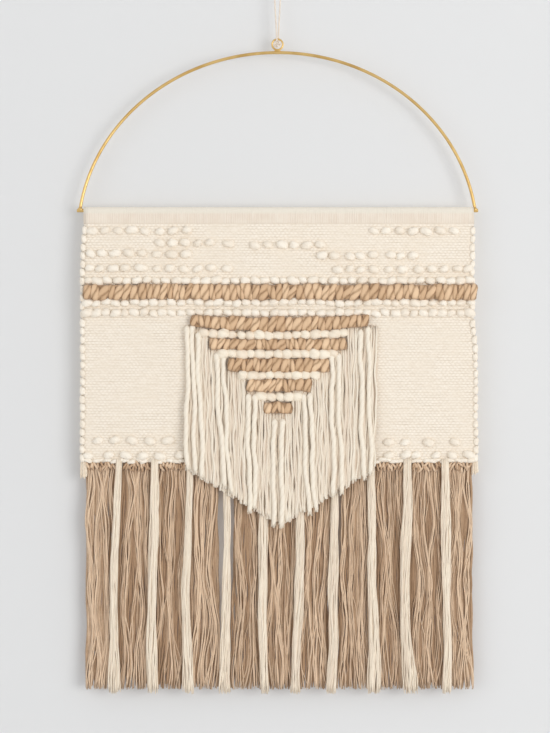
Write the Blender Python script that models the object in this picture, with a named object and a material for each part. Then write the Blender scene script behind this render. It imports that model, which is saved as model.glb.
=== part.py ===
"""Woven wall hanging on a half-moon wire hanger, modelled as its maker's pieces.

Metres, +Z up. The origin is the bearing point inside the top of the hanging cord's loop, where a nail
goes. The hanging falls along -Z and its front faces -Y. A drop is a height measured down from the rod.
"""

import math
import random

import bmesh
import bpy
import numpy as np
from mathutils import Vector

GAP = 0.0003  # left between pieces that lie against each other

# Hanger: a wire bent to part of an ellipse, a straight rod through the cloth and a ring on the crown.
ROD_Z = -0.2860
ROD_LENGTH = 0.513
WIRE_RADIUS = 0.0020
ARC_HALF_WIDTH = 0.2540
ARC_HALF_HEIGHT = 0.2337
ARC_CENTRE_DROP = 0.0325
ARC_SEGMENTS = 42
RING_MEAN_RADIUS = 0.0068
RING_WIRE_RADIUS = 0.0012

# Hanging cord: from a knot in the ring up in front of its wire, over the nail and down behind it.
CORD_RADIUS = 0.0011
KNOT_RADIUS = 0.0042
KNOT_LIFT = 0.0010  # height of the knot's middle over the ring's
CORD_ROUTE = (  # chosen by hand
    (-0.0007, -0.0036, -0.0709),
    (-0.0009, -0.0046, -0.0698),
    (-0.0010, -0.0048, -0.0680),
    (-0.0011, -0.0039, -0.0655),
    (-0.0012, -0.0026, -0.0625),
    (-0.0014, -0.0012, -0.0585),
    (-0.0018, -0.0003, -0.0500),
    (-0.0024, 0.0000, -0.0390),
    (-0.0030, 0.0000, -0.0280),
    (-0.0036, 0.0000, -0.0170),
    (-0.0040, 0.0000, -0.0085),
    (-0.0041, 0.0000, -0.0040),
    (-0.0036, 0.0000, -0.0012),
    (-0.0021, 0.0000, 0.0005),
    (0.0000, 0.0000, 0.0011),
    (0.0021, 0.0000, 0.0005),
    (0.0036, 0.0000, -0.0012),
    (0.0041, 0.0000, -0.0040),
    (0.0040, 0.0000, -0.0085),
    (0.0036, 0.0000, -0.0170),
    (0.0030, 0.0000, -0.0280),
    (0.0024, 0.0000, -0.0390),
    (0.0018, 0.0003, -0.0500),
    (0.0014, 0.0012, -0.0585),
    (0.0012, 0.0026, -0.0625),
    (0.0011, 0.0039, -0.0655),
    (0.0010, 0.0048, -0.0680),
    (0.0009, 0.0046, -0.0698),
    (0.0007, 0.0036, -0.0709),
)

# Cloth: one sheet, turned over the rod and sewn down behind as a hem.
CLOTH_THICK = 0.0025
CLOTH_DROP = 0.3195
POCKET_SLACK = 0.0005
HEM_DROP = 0.0166
SEAM_HEIGHT = 0.0040
FLAP_Y = 0.0017  # the flap's inner side half way down to the seam
SELVEDGES = (  # drop, x of the left and of the right edge
    (0.0000, -0.2466, 0.2486),
    (0.0166, -0.2466, 0.2496),
    (0.0230, -0.2500, 0.2536),
    (0.3195, -0.2506, 0.2544),
)
SCALLOP_PITCH = 0.0107
SCALLOP_DEPTH = 0.0012

INNER_RADIUS = WIRE_RADIUS + POCKET_SLACK
POCKET_Z = ROD_Z + WIRE_RADIUS + GAP - INNER_RADIUS
CLOTH_Y = -INNER_RADIUS - CLOTH_THICK / 2
CLOTH_FRONT_Y = CLOTH_Y - CLOTH_THICK / 2
CLOTH_BOTTOM_Z = ROD_Z - CLOTH_DROP

# Loops of yarn pulled out of the weave. A row: drop, half height, then its runs.
# A run: x of its first and last tuft, how many, and how much lower than the row it lies.
TUFT_ROWS = (
    (0.0262, 0.0046, ((-0.2356, -0.1149, 8, 0.0), (0.1226, 0.2242, 7, 0.0))),
    (0.0420, 0.0046, ((-0.1492, -0.0622, 6, 0.0), (-0.0286, 0.0546, 6, 0.0024))),
    (0.0560, 0.0044, ((-0.2369, -0.1162, 8, 0.0), (0.0565, 0.1721, 8, 0.0024))),
    (0.0742, 0.0046, ((-0.2381, -0.0641, 11, 0.0), (0.0768, 0.2419, 11, 0.0008))),
    (0.0893, 0.0045, ((-0.2415, 0.2455, 44, 0.0),)),
    (0.1180, 0.0042, ((-0.2415, 0.2455, 44, 0.0),)),
    (0.1305, 0.0042, ((-0.2415, 0.2455, 44, 0.0),)),
    (0.2944, 0.0044, ((-0.2280, -0.1391, 5, 0.0), (0.1416, 0.2254, 4, 0.0))),
    (0.3113, 0.0044, ((-0.2407, -0.1226, 6, 0.0), (0.1416, 0.2432, 6, 0.0))),
)
TUFT_WIDTH = 0.0116
TUFT_HEIGHT = 0.0052
TUFT_CREST = 0.42  # a tuft's flat top over its width
LEAST_LINE_GAP = 0.0012  # between a tuft's foot and the next plain line of the cloth's face

# Rows of thick yarn worked over the cloth's face: name, drop, x of the left and right end,
# half height, lumps, how far the middle sags under the ends, yarn.
YARN_ROWS = (
    ("tan_row_full", 0.1036, -0.2457, 0.2521, 0.0086, 60, 0.0000, "tan_yarn"),
    ("tan_row_1", 0.1415, -0.1111, 0.1149, 0.0075, 27, 0.0018, "tan_yarn"),
    ("tan_row_2", 0.1680, -0.0870, 0.0868, 0.0075, 21, 0.0008, "tan_yarn"),
    ("tan_row_3", 0.1953, -0.0634, 0.0650, 0.0075, 16, 0.0006, "tan_yarn"),
    ("tan_row_4", 0.2211, -0.0387, 0.0425, 0.0073, 10, 0.0000, "tan_yarn"),
    ("tan_row_5", 0.2509, -0.0168, 0.0180, 0.0073, 4, 0.0000, "tan_yarn"),
    ("cream_row_1", 0.1553, -0.0868, 0.0866, 0.0038, 14, 0.0014, "cream_yarn"),
    ("cream_row_2", 0.1822, -0.0632, 0.0648, 0.0041, 11, 0.0008, "cream_yarn"),
    ("cream_row_3", 0.2082, -0.0385, 0.0423, 0.0041, 7, 0.0003, "cream_yarn"),
    ("cream_row_4", 0.2360, -0.0166, 0.0178, 0.0041, 4, 0.0000, "cream_yarn"),
)
ROW_DEPTH = 1.30  # how far a row stands out over its half height
ROW_VALLEY = 0.70  # its radius between two lumps over that at a lump
ROW_END = 0.50

# Pointed fringe: cords hung from the stepped ends of the rows and cut to a point.
# A group: name, x of its left and right edge, drop of its heading's top, cords.
POINT_GROUPS = (
    ("point_fringe_left_1", -0.1162, -0.0887, 0.1494, 7),
    ("point_fringe_left_2", -0.0880, -0.0645, 0.1764, 6),
    ("point_fringe_left_3", -0.0638, -0.0400, 0.2036, 6),
    ("point_fringe_left_4", -0.0393, -0.0175, 0.2291, 6),
    ("point_fringe_middle", -0.0168, 0.0180, 0.2587, 9),
    ("point_fringe_right_4", 0.0190, 0.0425, 0.2291, 6),
    ("point_fringe_right_3", 0.0433, 0.0655, 0.2036, 6),
    ("point_fringe_right_2", 0.0663, 0.0870, 0.1764, 5),
    ("point_fringe_right_1", 0.0884, 0.1276, 0.1494, 10),
)
POINT_TIP = (0.0040, 0.3990)  # x and drop of the longest cord's end
POINT_SLOPE = 0.60  # rise of the cut for each metre sideways
POINT_HEAD_HEIGHT = 0.0045
POINT_DEPTHS = (-0.0103, -0.0078, -0.0053)  # y of the heading's front, middle and back
POINT_FORWARD = 0.0043  # how far the cords come forward to clear the tassels
FORWARD_FROM = 0.215  # drop at which they start to come forward
FORWARD_OVER = 0.075
POINT_CORD = (0.0024, 0.0011)  # half width and half depth
POINT_DRAW = 0.0018  # how much narrower than its heading a group hangs

# Tassels along the cloth's lower edge: x at the top and at the bottom.
TASSELS = (
    (-0.2013, -0.2064),
    (-0.1561, -0.1594),
    (-0.1111, -0.1129),
    (-0.0645, -0.0679),
    (-0.0184, -0.0150),
    (0.0305, 0.0222),
    (0.0737, 0.0705),
    (0.1187, 0.1232),
    (0.1652, 0.1708),
    (0.2127, 0.2158),
)
TASSEL_WIDTHS = (0.0095, 0.0150)  # at the top and at the bottom
TASSEL_LOCKS = 5
TASSEL_DROP = 0.6140
TASSEL_DEPTHS = (-0.0092, -0.0060, -0.0026)
TASSEL_CORD = (0.0017, 0.0010)
TASSEL_Y = -0.0069  # middle depth of the hanging part
TASSEL_LAYER_STEP = 0.0025

# Finer tan fringe beside and behind them: x of a group's edges at the top, then at the bottom.
TAN_GROUPS = (
    (-0.2419, -0.2070, -0.2430, -0.2085),
    (-0.1955, -0.1618, -0.2045, -0.1612),
    (-0.1503, -0.1168, -0.1572, -0.1150),
    (-0.1054, -0.0770, -0.1110, -0.0785),
    (-0.0520, -0.0242, -0.0530, -0.0172),
    (-0.0126, 0.0247, -0.0132, 0.0200),
    (0.0363, 0.0680, 0.0242, 0.0683),
    (0.0795, 0.1130, 0.0725, 0.1208),
    (0.1245, 0.1595, 0.1250, 0.1686),
    (0.1710, 0.2068, 0.1728, 0.2137),
    (0.2185, 0.2464, 0.2180, 0.2480),
)
TAN_LOCKS = 11
TAN_DROP = 0.6078
TAN_DEPTHS = (-0.0042, -0.0016, 0.0012)
TAN_CORD = (0.0017, 0.0011)
TAN_Y = -0.0015
TAN_LAYER_STEP = 0.0027
LOWER_HEAD_HEIGHT = 0.0050

# Short ends of yarn left hanging at the cloth's lower corners: name, middle x, drop of their tips.
CORNER_TUFTS = (
    ("corner_tuft_left", -0.2462, 0.3424),
    ("corner_tuft_right", 0.2506, 0.3373),
)
CORNER_HALF_WIDTH = 0.0028
CORNER_ENDS = 3
CORNER_CORD = (0.0013, 0.0010)

POINT_SWAY = 0.0007  # how far the cords wander sideways
LOWER_SWAY = 0.0012  # and the lower fringe
SWAY_WAVES = (0.21, 0.13)  # its wavelengths down and across
MATERIALS = {  # base colour, metallic, roughness
    "cream_yarn": ((0.86, 0.80, 0.69), 0.0, 0.95),
    "tan_yarn": ((0.56, 0.37, 0.21), 0.0, 0.95),
    "brass": ((0.78, 0.62, 0.34), 1.0, 0.35),
    "cord": ((0.83, 0.74, 0.64), 0.0, 0.90),
}

uneven = random.Random(11)


def clear_scene():
    """Remove the objects of the startup scene."""
    for thing in list(bpy.data.objects):
        bpy.data.objects.remove(thing)


def collection_named(name):
    """A new collection in the scene."""
    made = bpy.data.collections.new(name)
    bpy.context.scene.collection.children.link(made)
    return made


def material(name):
    """A Principled material from MATERIALS, made once."""
    found = bpy.data.materials.get(name)
    if found:
        return found
    colour, metallic, roughness = MATERIALS[name]
    made = bpy.data.materials.new(name)
    made.use_nodes = True
    shader = made.node_tree.nodes["Principled BSDF"]
    shader.inputs["Base Color"].default_value = (*colour, 1.0)
    shader.inputs["Metallic"].default_value = metallic
    shader.inputs["Roughness"].default_value = roughness
    return made


def add(parts, name, data, finish):
    """Link a new object of this data, with its material, to the collection."""
    thing = bpy.data.objects.new(name, data)
    data.materials.append(material(finish))
    parts.objects.link(thing)
    return thing


def adopt(parts, name, finish):
    """Name the primitive just added, shade it smooth and move it to the collection."""
    thing = bpy.context.object
    thing.name = name
    thing.data.materials.append(material(finish))
    for old in list(thing.users_collection):
        old.objects.unlink(thing)
    parts.objects.link(thing)
    thing.data.shade_smooth()
    thing.data.set_sharp_from_angle(angle=math.radians(40))


def add_mesh(parts, name, bm, finish):
    """Add the finished bmesh, its faces turned outwards."""
    bmesh.ops.recalc_face_normals(bm, faces=bm.faces)
    mesh = bpy.data.meshes.new(name)
    bm.to_mesh(mesh)
    bm.free()
    return add(parts, name, mesh, finish)


def poly_curve(name, points, radii=None):
    """A 3D curve with filled caps and one straight-sided spline through the points."""
    curve = bpy.data.curves.new(name, "CURVE")
    curve.dimensions = "3D"
    curve.use_fill_caps = True
    spline = curve.splines.new("POLY")
    spline.points.add(len(points) - 1)
    for i, place in enumerate(points):
        spline.points[i].co = (*place, 1.0)
        spline.points[i].radius = radii[i] if radii else 1.0
    return curve


def add_tube(parts, name, points, radius, finish):
    """A round wire or cord along the points."""
    curve = poly_curve(name, points)
    curve.bevel_depth = radius
    curve.bevel_resolution = 2
    return add(parts, name, curve, finish)


def ring_centre_z():
    """Height of the ring's middle, the ring standing on the arc's crown."""
    crown = ROD_Z - ARC_CENTRE_DROP + ARC_HALF_HEIGHT + WIRE_RADIUS
    return crown + GAP + RING_WIRE_RADIUS + RING_MEAN_RADIUS


def add_hanger(parts):
    """The arc with its ends on the rod, the rod through the cloth and the ring on the crown."""
    centre_z = ROD_Z - ARC_CENTRE_DROP
    foot_z = ROD_Z + 2 * GAP + WIRE_RADIUS
    reach = math.acos((foot_z - centre_z) / ARC_HALF_HEIGHT)
    turns = [reach * (2 * i / ARC_SEGMENTS - 1) for i in range(ARC_SEGMENTS + 1)]
    arc = [(ARC_HALF_WIDTH * math.sin(t), 0.0, centre_z + ARC_HALF_HEIGHT * math.cos(t)) for t in turns]
    add_tube(parts, "hanger_arc", arc, WIRE_RADIUS, "brass")

    bpy.ops.mesh.primitive_cylinder_add(
        vertices=16,
        radius=WIRE_RADIUS,
        depth=ROD_LENGTH,
        location=(0, 0, ROD_Z),
        rotation=(0, math.pi / 2, 0),
    )
    adopt(parts, "hanger_rod", "brass")

    bpy.ops.mesh.primitive_torus_add(
        major_radius=RING_MEAN_RADIUS,
        minor_radius=RING_WIRE_RADIUS,
        major_segments=24,
        minor_segments=6,
        location=(0, 0, ring_centre_z()),
        rotation=(math.pi / 2, 0, 0),
    )
    adopt(parts, "hanger_ring", "brass")


def smooth_route(points, steps):
    """Points on a Catmull-Rom curve through the route, so many to each of its spans."""
    route = [Vector(place) for place in (points[0], *points, points[-1])]
    smooth = []
    for before, start, end, after in zip(route, route[1:], route[2:], route[3:]):
        for i in range(steps):
            t = i / steps
            bend = (end - before) * t + (2 * before - 5 * start + 4 * end - after) * t**2
            smooth.append(start + (bend + (3 * start - before - 3 * end + after) * t**3) / 2)
    return smooth + [route[-1]]


def add_cord(parts):
    """The cord over the nail, and the knot in the ring that holds its two ends."""
    add_tube(parts, "hanging_cord", smooth_route(CORD_ROUTE, 2), CORD_RADIUS, "cord")
    bpy.ops.mesh.primitive_ico_sphere_add(
        subdivisions=2,
        radius=KNOT_RADIUS,
        location=(0, 0, ring_centre_z() + KNOT_LIFT),
    )
    adopt(parts, "cord_knot", "cord")


def selvedge(drop):
    """x of the cloth's left and right edge at this drop, scalloped where the thick wefts turn."""
    drops, lefts, rights = zip(*SELVEDGES)
    inset = 0.0
    if drop > HEM_DROP:
        inset = SCALLOP_DEPTH * (0.5 - 0.5 * math.cos(2 * math.pi * (drop - HEM_DROP) / SCALLOP_PITCH))
    return float(np.interp(drop, drops, lefts)) + inset, float(np.interp(drop, drops, rights)) - inset


def plain_line(drop):
    """A weft line with nothing pulled out of it: its two ends."""
    return [(x, 0.0, drop) for x in selvedge(drop)]


def tuft_lines(row_drop, half_height, runs):
    """The three weft lines that a row of tufts needs: above, along and below it."""
    offsets = (-half_height, 0.0, half_height)
    lines = [plain_line(row_drop + offset) for offset in offsets]
    for first, last, count, lower in runs:
        pitch = (last - first) / (count - 1)
        half = min(TUFT_WIDTH, pitch) / 2
        apart = pitch - 2 * half > GAP
        for i in range(count):
            x = first + pitch * i
            feet = [x - half, x + half] if apart or i == 0 else [x + half]
            for line, offset in zip(lines, offsets):
                line += [(foot, 0.0, row_drop + lower + offset) for foot in feet]
            lift = TUFT_HEIGHT * uneven.uniform(0.82, 1.0)
            middle = row_drop + lower + uneven.uniform(-0.0004, 0.0004)
            lines[1] += [(x + half * side, lift, middle) for side in (-TUFT_CREST, TUFT_CREST)]
    return [sorted(line) for line in lines]


def weft_lines():
    """All the lines across the cloth's face, from the seam under the hem down to its lower edge."""
    lines = []
    bands = []
    for row_drop, half_height, runs in TUFT_ROWS:
        bands.append((row_drop - half_height, row_drop + half_height + max(run[3] for run in runs)))
        lines += tuft_lines(row_drop, half_height, runs)
    step = SCALLOP_PITCH / 2
    seam = HEM_DROP - SEAM_HEIGHT
    drops = [seam, HEM_DROP, CLOTH_DROP]
    drops += [HEM_DROP + step * i for i in range(1, int((CLOTH_DROP - HEM_DROP) / step))]
    for drop in drops:
        if all(drop < top - LEAST_LINE_GAP or drop > bottom + LEAST_LINE_GAP for top, bottom in bands):
            lines.append(plain_line(drop))
    return sorted(lines, key=lambda line: line[0][2])


def zip_faces(bm, upper, lower):
    """Triangles between two lines of unlike vertices, always closing the shorter diagonal."""
    i = j = 0
    while i < len(upper) - 1 or j < len(lower) - 1:
        along_upper = j == len(lower) - 1 or (
            i < len(upper) - 1
            and (upper[i + 1].co - lower[j].co).length <= (lower[j + 1].co - upper[i].co).length
        )
        if along_upper:
            bm.faces.new((upper[i], lower[j], upper[i + 1]))
            i += 1
        else:
            bm.faces.new((upper[i], lower[j], lower[j + 1]))
            j += 1


def add_cloth(parts):
    """The sheet: its face row by row, over the rod, down behind it, and sewn to its own back."""
    bm = bmesh.new()
    back_y = CLOTH_FRONT_Y + CLOTH_THICK
    face, back = [], []
    for line in weft_lines():
        face.append([bm.verts.new((x, CLOTH_FRONT_Y - lift, ROD_Z - drop)) for x, lift, drop in line])
        back.append([bm.verts.new((x, back_y, ROD_Z - drop)) for x, _lift, drop in (line[0], line[-1])])

    outer, inner = [], []
    left, right = selvedge(0.0)
    for turn in (math.pi * i / 8 for i in range(9)):
        for loop, radius in ((outer, INNER_RADIUS + CLOTH_THICK), (inner, INNER_RADIUS)):
            y, z = -radius * math.cos(turn), POCKET_Z + radius * math.sin(turn)
            loop.append([bm.verts.new((x, y, z)) for x in (left, right)])
    flap_z = (POCKET_Z + ROD_Z - HEM_DROP + SEAM_HEIGHT) / 2
    for loop, y in ((outer, FLAP_Y + CLOTH_THICK), (inner, FLAP_Y)):
        loop.append([bm.verts.new((x, y, flap_z)) for x in (left, right)])

    over_rod = [face[0], *outer, back[1]]
    under_rod = [back[0], *inner, back[0]]
    for upper, lower in zip(face, face[1:]):
        zip_faces(bm, upper, lower)
    for upper, lower in zip(back[1:], back[2:]):
        zip_faces(bm, upper, lower)
    for first, second in zip(over_rod, over_rod[1:]):
        zip_faces(bm, [first[0], first[-1]], [second[0], second[-1]])
    for first, second in zip(under_rod, under_rod[1:]):
        zip_faces(bm, first, second)
    for end in (0, -1):
        for i in range(len(face) - 1):
            bm.faces.new((face[i][end], face[i + 1][end], back[i + 1][end], back[i][end]))
        for i in range(len(over_rod) - 1):
            corners = (over_rod[i][end], over_rod[i + 1][end], under_rod[i + 1][end], under_rod[i][end])
            bm.faces.new(corners)
    zip_faces(bm, [face[-1][0], face[-1][-1]], back[-1])
    add_mesh(parts, "cloth", bm, "cream_yarn")


def add_yarn_rows(parts, guides):
    """Each row of thick yarn: a half-round outline swept along it, swelling at every lump."""
    turns = [math.radians(a) for a in (90, 45, 0, -45, -90)]
    outline = poly_curve("row_outline", [(ROW_DEPTH * math.cos(t), math.sin(t), 0.0) for t in turns])
    outline.dimensions = "2D"
    outline.splines[0].use_cyclic_u = True
    guide = add(guides, "row_outline", outline, "tan_yarn")
    guide.hide_render = True
    guide.display_type = "WIRE"

    for name, drop, left, right, half_height, lumps, sag, finish in YARN_ROWS:
        points, radii = [], []
        for i in range(2 * lumps + 1):
            share = i / (2 * lumps)
            ends = (2 * share - 1) ** 2
            z = ROD_Z - drop - sag * (1 - ends)
            points.append((left + (right - left) * share, CLOTH_FRONT_Y - GAP, z))
            swell = uneven.uniform(0.92, 1.0) if i % 2 else ROW_VALLEY
            radii.append(half_height * (swell if 0 < share < 1 else ROW_END))
        curve = poly_curve(name, points, radii)
        curve.bevel_mode = "OBJECT"
        curve.bevel_object = guide
        add(parts, name, curve, finish)


def sway(x, z, below):
    """Sideways drift of hanging yarn at (x, z), from -1 to 1, growing over its first 60 mm."""
    down, across = SWAY_WAVES
    return math.sin(2 * math.pi * (z / down + x / across)) * min(1.0, below / 0.06)


def heading(left, right, depths, top_z, height, count):
    """A strip one cell wide for each strand and two deep, its underside left as cells to pull down."""
    front, middle, back = depths
    bm = bmesh.new()
    bmesh.ops.create_grid(bm, x_segments=count, y_segments=2, size=0.5)
    for vert in bm.verts:
        y = front if vert.co.y < -0.25 else back if vert.co.y > 0.25 else middle
        vert.co = (left + (right - left) * (vert.co.x + 0.5), y, top_z - height)
    lifted = bmesh.ops.extrude_face_region(bm, geom=list(bm.faces))["geom"]
    top = {item for item in lifted if isinstance(item, bmesh.types.BMVert)}
    bmesh.ops.translate(bm, verts=list(top), vec=(0, 0, height))
    bmesh.ops.recalc_face_normals(bm, faces=bm.faces)
    inside = [edge for edge in bm.edges if edge.calc_face_angle(math.pi) < 0.01]
    flat = [edge for edge in inside if edge.verts[0] in top or edge.verts[1] in top]
    bmesh.ops.dissolve_edges(bm, edges=flat, use_verts=True)
    return bm


def pull_strand(bm, root, rings):
    """Extrude one cell of the underside down through the rings: (x, y, z, half width, half depth)."""
    for x, y, z, half_width, half_depth in rings:
        middle = root.calc_center_median()
        root = bmesh.ops.extrude_discrete_faces(bm, faces=[root])["faces"][0]
        for vert in root.verts:
            side = math.copysign(half_width, vert.co.x - middle.x)
            near = math.copysign(half_depth, vert.co.y - middle.y)
            vert.co = (x + side, y + near, z)


def add_fringe(parts, name, bm, first_layer, rings_of, finish):
    """Pull a strand from every column of the heading, front and back by turns, and add the whole."""
    places = {face: face.calc_center_median() for face in bm.faces}
    under = min(place.z for place in places.values())
    cells = [face for face in bm.faces if places[face].z < under + 1e-6]
    cells.sort(key=lambda face: (round(places[face].x, 6), places[face].y))
    count = len(cells) // 2
    roots = []
    for i in range(count):
        layer = (i + first_layer) % 2
        roots.append((cells[2 * i + layer], layer))
    for i, (root, layer) in enumerate(roots):
        pull_strand(bm, root, rings_of((i + 0.5) / count, places[root].x, layer))
    add_mesh(parts, name, bm, finish)


def point_rings(top_z):
    """What gives the rings of a cord under a heading of the pointed fringe whose underside is at top_z."""
    front, middle, back = POINT_DEPTHS
    half_width, half_depth = POINT_CORD

    def rings(column, x, layer):
        tip_x, tip_drop = POINT_TIP
        end_z = ROD_Z - tip_drop + POINT_SLOPE * abs(x - tip_x) + uneven.uniform(-0.003, 0.003)
        y = (front + middle) / 2 if layer == 0 else (middle + back) / 2
        found = []
        for share in (0.04, 0.34, 0.68, 1.0):
            z = top_z + (end_z - top_z) * share
            forward = POINT_FORWARD * min(1.0, max(0.0, (ROD_Z - FORWARD_FROM - z) / FORWARD_OVER))
            narrow = 0.75 if share == 1.0 else 1.0
            place = x + POINT_DRAW * (0.5 - column) + POINT_SWAY * sway(x, z, top_z - z)
            found.append((place, y - forward, z, half_width * narrow, half_depth))
        return found

    return rings


def hanging_rings(top_z, spread, end_drop, middle_y, layer_step, cord):
    """What gives the rings of a strand of a group below the cloth, which spreads from its heading down."""
    half_width, half_depth = cord
    left, right = spread

    def rings(column, x, layer):
        end_x = left + half_width + (right - left - 2 * half_width) * column
        end_z = ROD_Z - end_drop + uneven.uniform(-0.002, 0.004)
        y = middle_y - layer_step / 2 if layer == 0 else middle_y + layer_step / 2
        found = []
        for share in (0.05, 0.45, 1.0):
            z = top_z + (end_z - top_z) * share
            place = x + (end_x - x) * min(1.0, share * 1.6) + LOWER_SWAY * sway(x, z, top_z - z)
            found.append((place, y, z, half_width, half_depth))
        return found

    return rings


def add_point_fringe(parts):
    """The groups of cream cords on both sides of the stepped rows and under the last of them."""
    cords = 0
    for name, left, right, drop, count in POINT_GROUPS:
        top_z = ROD_Z - drop
        bm = heading(left, right, POINT_DEPTHS, top_z, POINT_HEAD_HEIGHT, count)
        add_fringe(parts, name, bm, cords % 2, point_rings(top_z - POINT_HEAD_HEIGHT), "cream_yarn")
        cords += count


def add_lower_fringe(parts):
    """Tassels and finer tan fringe, each group on its own heading under the cloth's edge."""
    top_z = CLOTH_BOTTOM_Z - GAP
    under_z = top_z - LOWER_HEAD_HEIGHT
    wide_top, wide_bottom = TASSEL_WIDTHS
    for i, (x, x_bottom) in enumerate(TASSELS, 1):
        edges = (x - wide_top / 2, x + wide_top / 2)
        spread = (x_bottom - wide_bottom / 2, x_bottom + wide_bottom / 2)
        bm = heading(*edges, TASSEL_DEPTHS, top_z, LOWER_HEAD_HEIGHT, TASSEL_LOCKS)
        rings = hanging_rings(under_z, spread, TASSEL_DROP, TASSEL_Y, TASSEL_LAYER_STEP, TASSEL_CORD)
        add_fringe(parts, f"cream_tassel_{i:02d}", bm, 0, rings, "cream_yarn")
    for i, (left, right, *spread) in enumerate(TAN_GROUPS, 1):
        bm = heading(left, right, TAN_DEPTHS, top_z, LOWER_HEAD_HEIGHT, TAN_LOCKS)
        rings = hanging_rings(under_z, spread, TAN_DROP, TAN_Y, TAN_LAYER_STEP, TAN_CORD)
        add_fringe(parts, f"tan_fringe_{i:02d}", bm, 0, rings, "tan_yarn")
    for name, x, drop in CORNER_TUFTS:
        edges = (x - CORNER_HALF_WIDTH, x + CORNER_HALF_WIDTH)
        bm = heading(*edges, TAN_DEPTHS, top_z, LOWER_HEAD_HEIGHT, CORNER_ENDS)
        rings = hanging_rings(under_z, edges, drop, TAN_Y, TAN_LAYER_STEP, CORNER_CORD)
        add_fringe(parts, name, bm, 0, rings, "cream_yarn")


def main():
    """Build the hanging from the nail down."""
    clear_scene()
    parts = collection_named("wall_hanging")
    guides = collection_named("guides")
    add_hanger(parts)
    add_cord(parts)
    add_cloth(parts)
    add_yarn_rows(parts, guides)
    add_point_fringe(parts)
    add_lower_fringe(parts)


main()
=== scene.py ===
"""Looks of the woven wall hanging: wire hanger, cord, cloth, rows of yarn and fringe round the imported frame.

Lengths are in metres. +Z is up, the face looks along -Y, and a drop is a distance below the rod's axis.
"""

import logging
import math
from dataclasses import dataclass, field
from enum import Enum
from functools import cache
from typing import ClassVar

import bpy
import numpy as np
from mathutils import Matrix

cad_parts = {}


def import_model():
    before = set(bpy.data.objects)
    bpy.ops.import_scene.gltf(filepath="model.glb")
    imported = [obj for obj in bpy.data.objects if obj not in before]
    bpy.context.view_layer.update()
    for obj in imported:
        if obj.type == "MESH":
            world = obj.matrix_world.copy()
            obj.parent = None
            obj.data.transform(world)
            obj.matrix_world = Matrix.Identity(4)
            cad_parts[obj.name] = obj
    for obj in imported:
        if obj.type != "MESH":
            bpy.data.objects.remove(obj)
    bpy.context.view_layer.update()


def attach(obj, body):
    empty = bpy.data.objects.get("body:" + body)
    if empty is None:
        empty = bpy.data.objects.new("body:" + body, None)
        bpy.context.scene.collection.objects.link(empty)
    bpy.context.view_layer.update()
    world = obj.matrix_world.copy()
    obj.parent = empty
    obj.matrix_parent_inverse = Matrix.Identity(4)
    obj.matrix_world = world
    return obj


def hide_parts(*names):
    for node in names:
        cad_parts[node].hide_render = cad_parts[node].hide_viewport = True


Rgb = tuple[float, float, float]
Point = tuple[float, float, float]
Values = np.ndarray | float
Table = tuple[tuple[float, ...], ...]

LOG = logging.getLogger("wall_hanging")
MM = 0.001
TURN = 2 * math.pi
ROD_Z = -0.2860
CLOTH_FACE_Y = -0.0050
CLOTH_BOTTOM_DROP = 0.3195
CLOTH_BOTTOM_Z = ROD_Z - CLOTH_BOTTOM_DROP
FRONT: Point = (0.0, -1.0, 0.0)
UPWARD: Point = (0.0, 0.0, 1.0)
SIDEWAYS: Point = (1.0, 0.0, 0.0)


def srgb(*screen: float) -> Rgb:
    """The linear colour of a screen colour given from 0 to 255."""
    scaled = np.array(screen) / 255.0
    return tuple(np.where(scaled <= 0.04045, scaled / 12.92, ((scaled + 0.055) / 1.055) ** 2.4).tolist())


def ramp(value: np.ndarray, length: float, start: float = 0.0) -> np.ndarray:
    """0 up to the start and 1 from a length beyond it on, with a straight line between."""
    return np.clip((value - start) / length, 0, 1)


def arch(reach: float, count: int) -> np.ndarray:
    """Angles along an arch, as one row, from -reach to reach degrees."""
    return np.radians(np.linspace(-reach, reach, count))[None]


def xyz(x: Values, y: Values, z: Values) -> np.ndarray:
    """Points from their three parts, each stretched to the shape of the others."""
    return np.stack(np.broadcast_arrays(x, y, z), -1)


# --- Shader maths ---


@dataclass(eq=False)
class Wire:
    """An output of a node. Arithmetic on it adds Math nodes."""

    graph: "Graph"
    socket: bpy.types.NodeSocket

    def maths(self, operation: str, *values: "Wire | float") -> "Wire":
        """The output of a Math node on these values."""
        return self.graph.node("ShaderNodeMath", {"operation": operation}, dict(enumerate(values)))

    def __add__(self, other: "Wire | float") -> "Wire":
        """Sum."""
        return self.maths("ADD", self, other)

    def __sub__(self, other: "Wire | float") -> "Wire":
        """Difference."""
        return self.maths("SUBTRACT", self, other)

    def __rsub__(self, other: float) -> "Wire":
        """Difference, the other way round."""
        return self.maths("SUBTRACT", other, self)

    def __mul__(self, other: "Wire | float") -> "Wire":
        """Product."""
        return self.maths("MULTIPLY", self, other)

    def __truediv__(self, other: "Wire | float") -> "Wire":
        """Quotient."""
        return self.maths("DIVIDE", self, other)

    __radd__ = __add__
    __rmul__ = __mul__

    def sine(self) -> "Wire":
        """Sine of the value in radians."""
        return self.maths("SINE", self)

    def floor(self) -> "Wire":
        """The whole number below."""
        return self.maths("FLOOR", self)

    def size(self) -> "Wire":
        """The value without its sign."""
        return self.maths("ABSOLUTE", self)

    def between(self, low: float, high: float) -> "Wire":
        """0 below low and 1 above high, with a smooth step from one to the other."""
        limits = {"Value": self, "From Min": low, "From Max": high}
        return self.graph.node("ShaderNodeMapRange", {"interpolation_type": "SMOOTHSTEP"}, limits)


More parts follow.
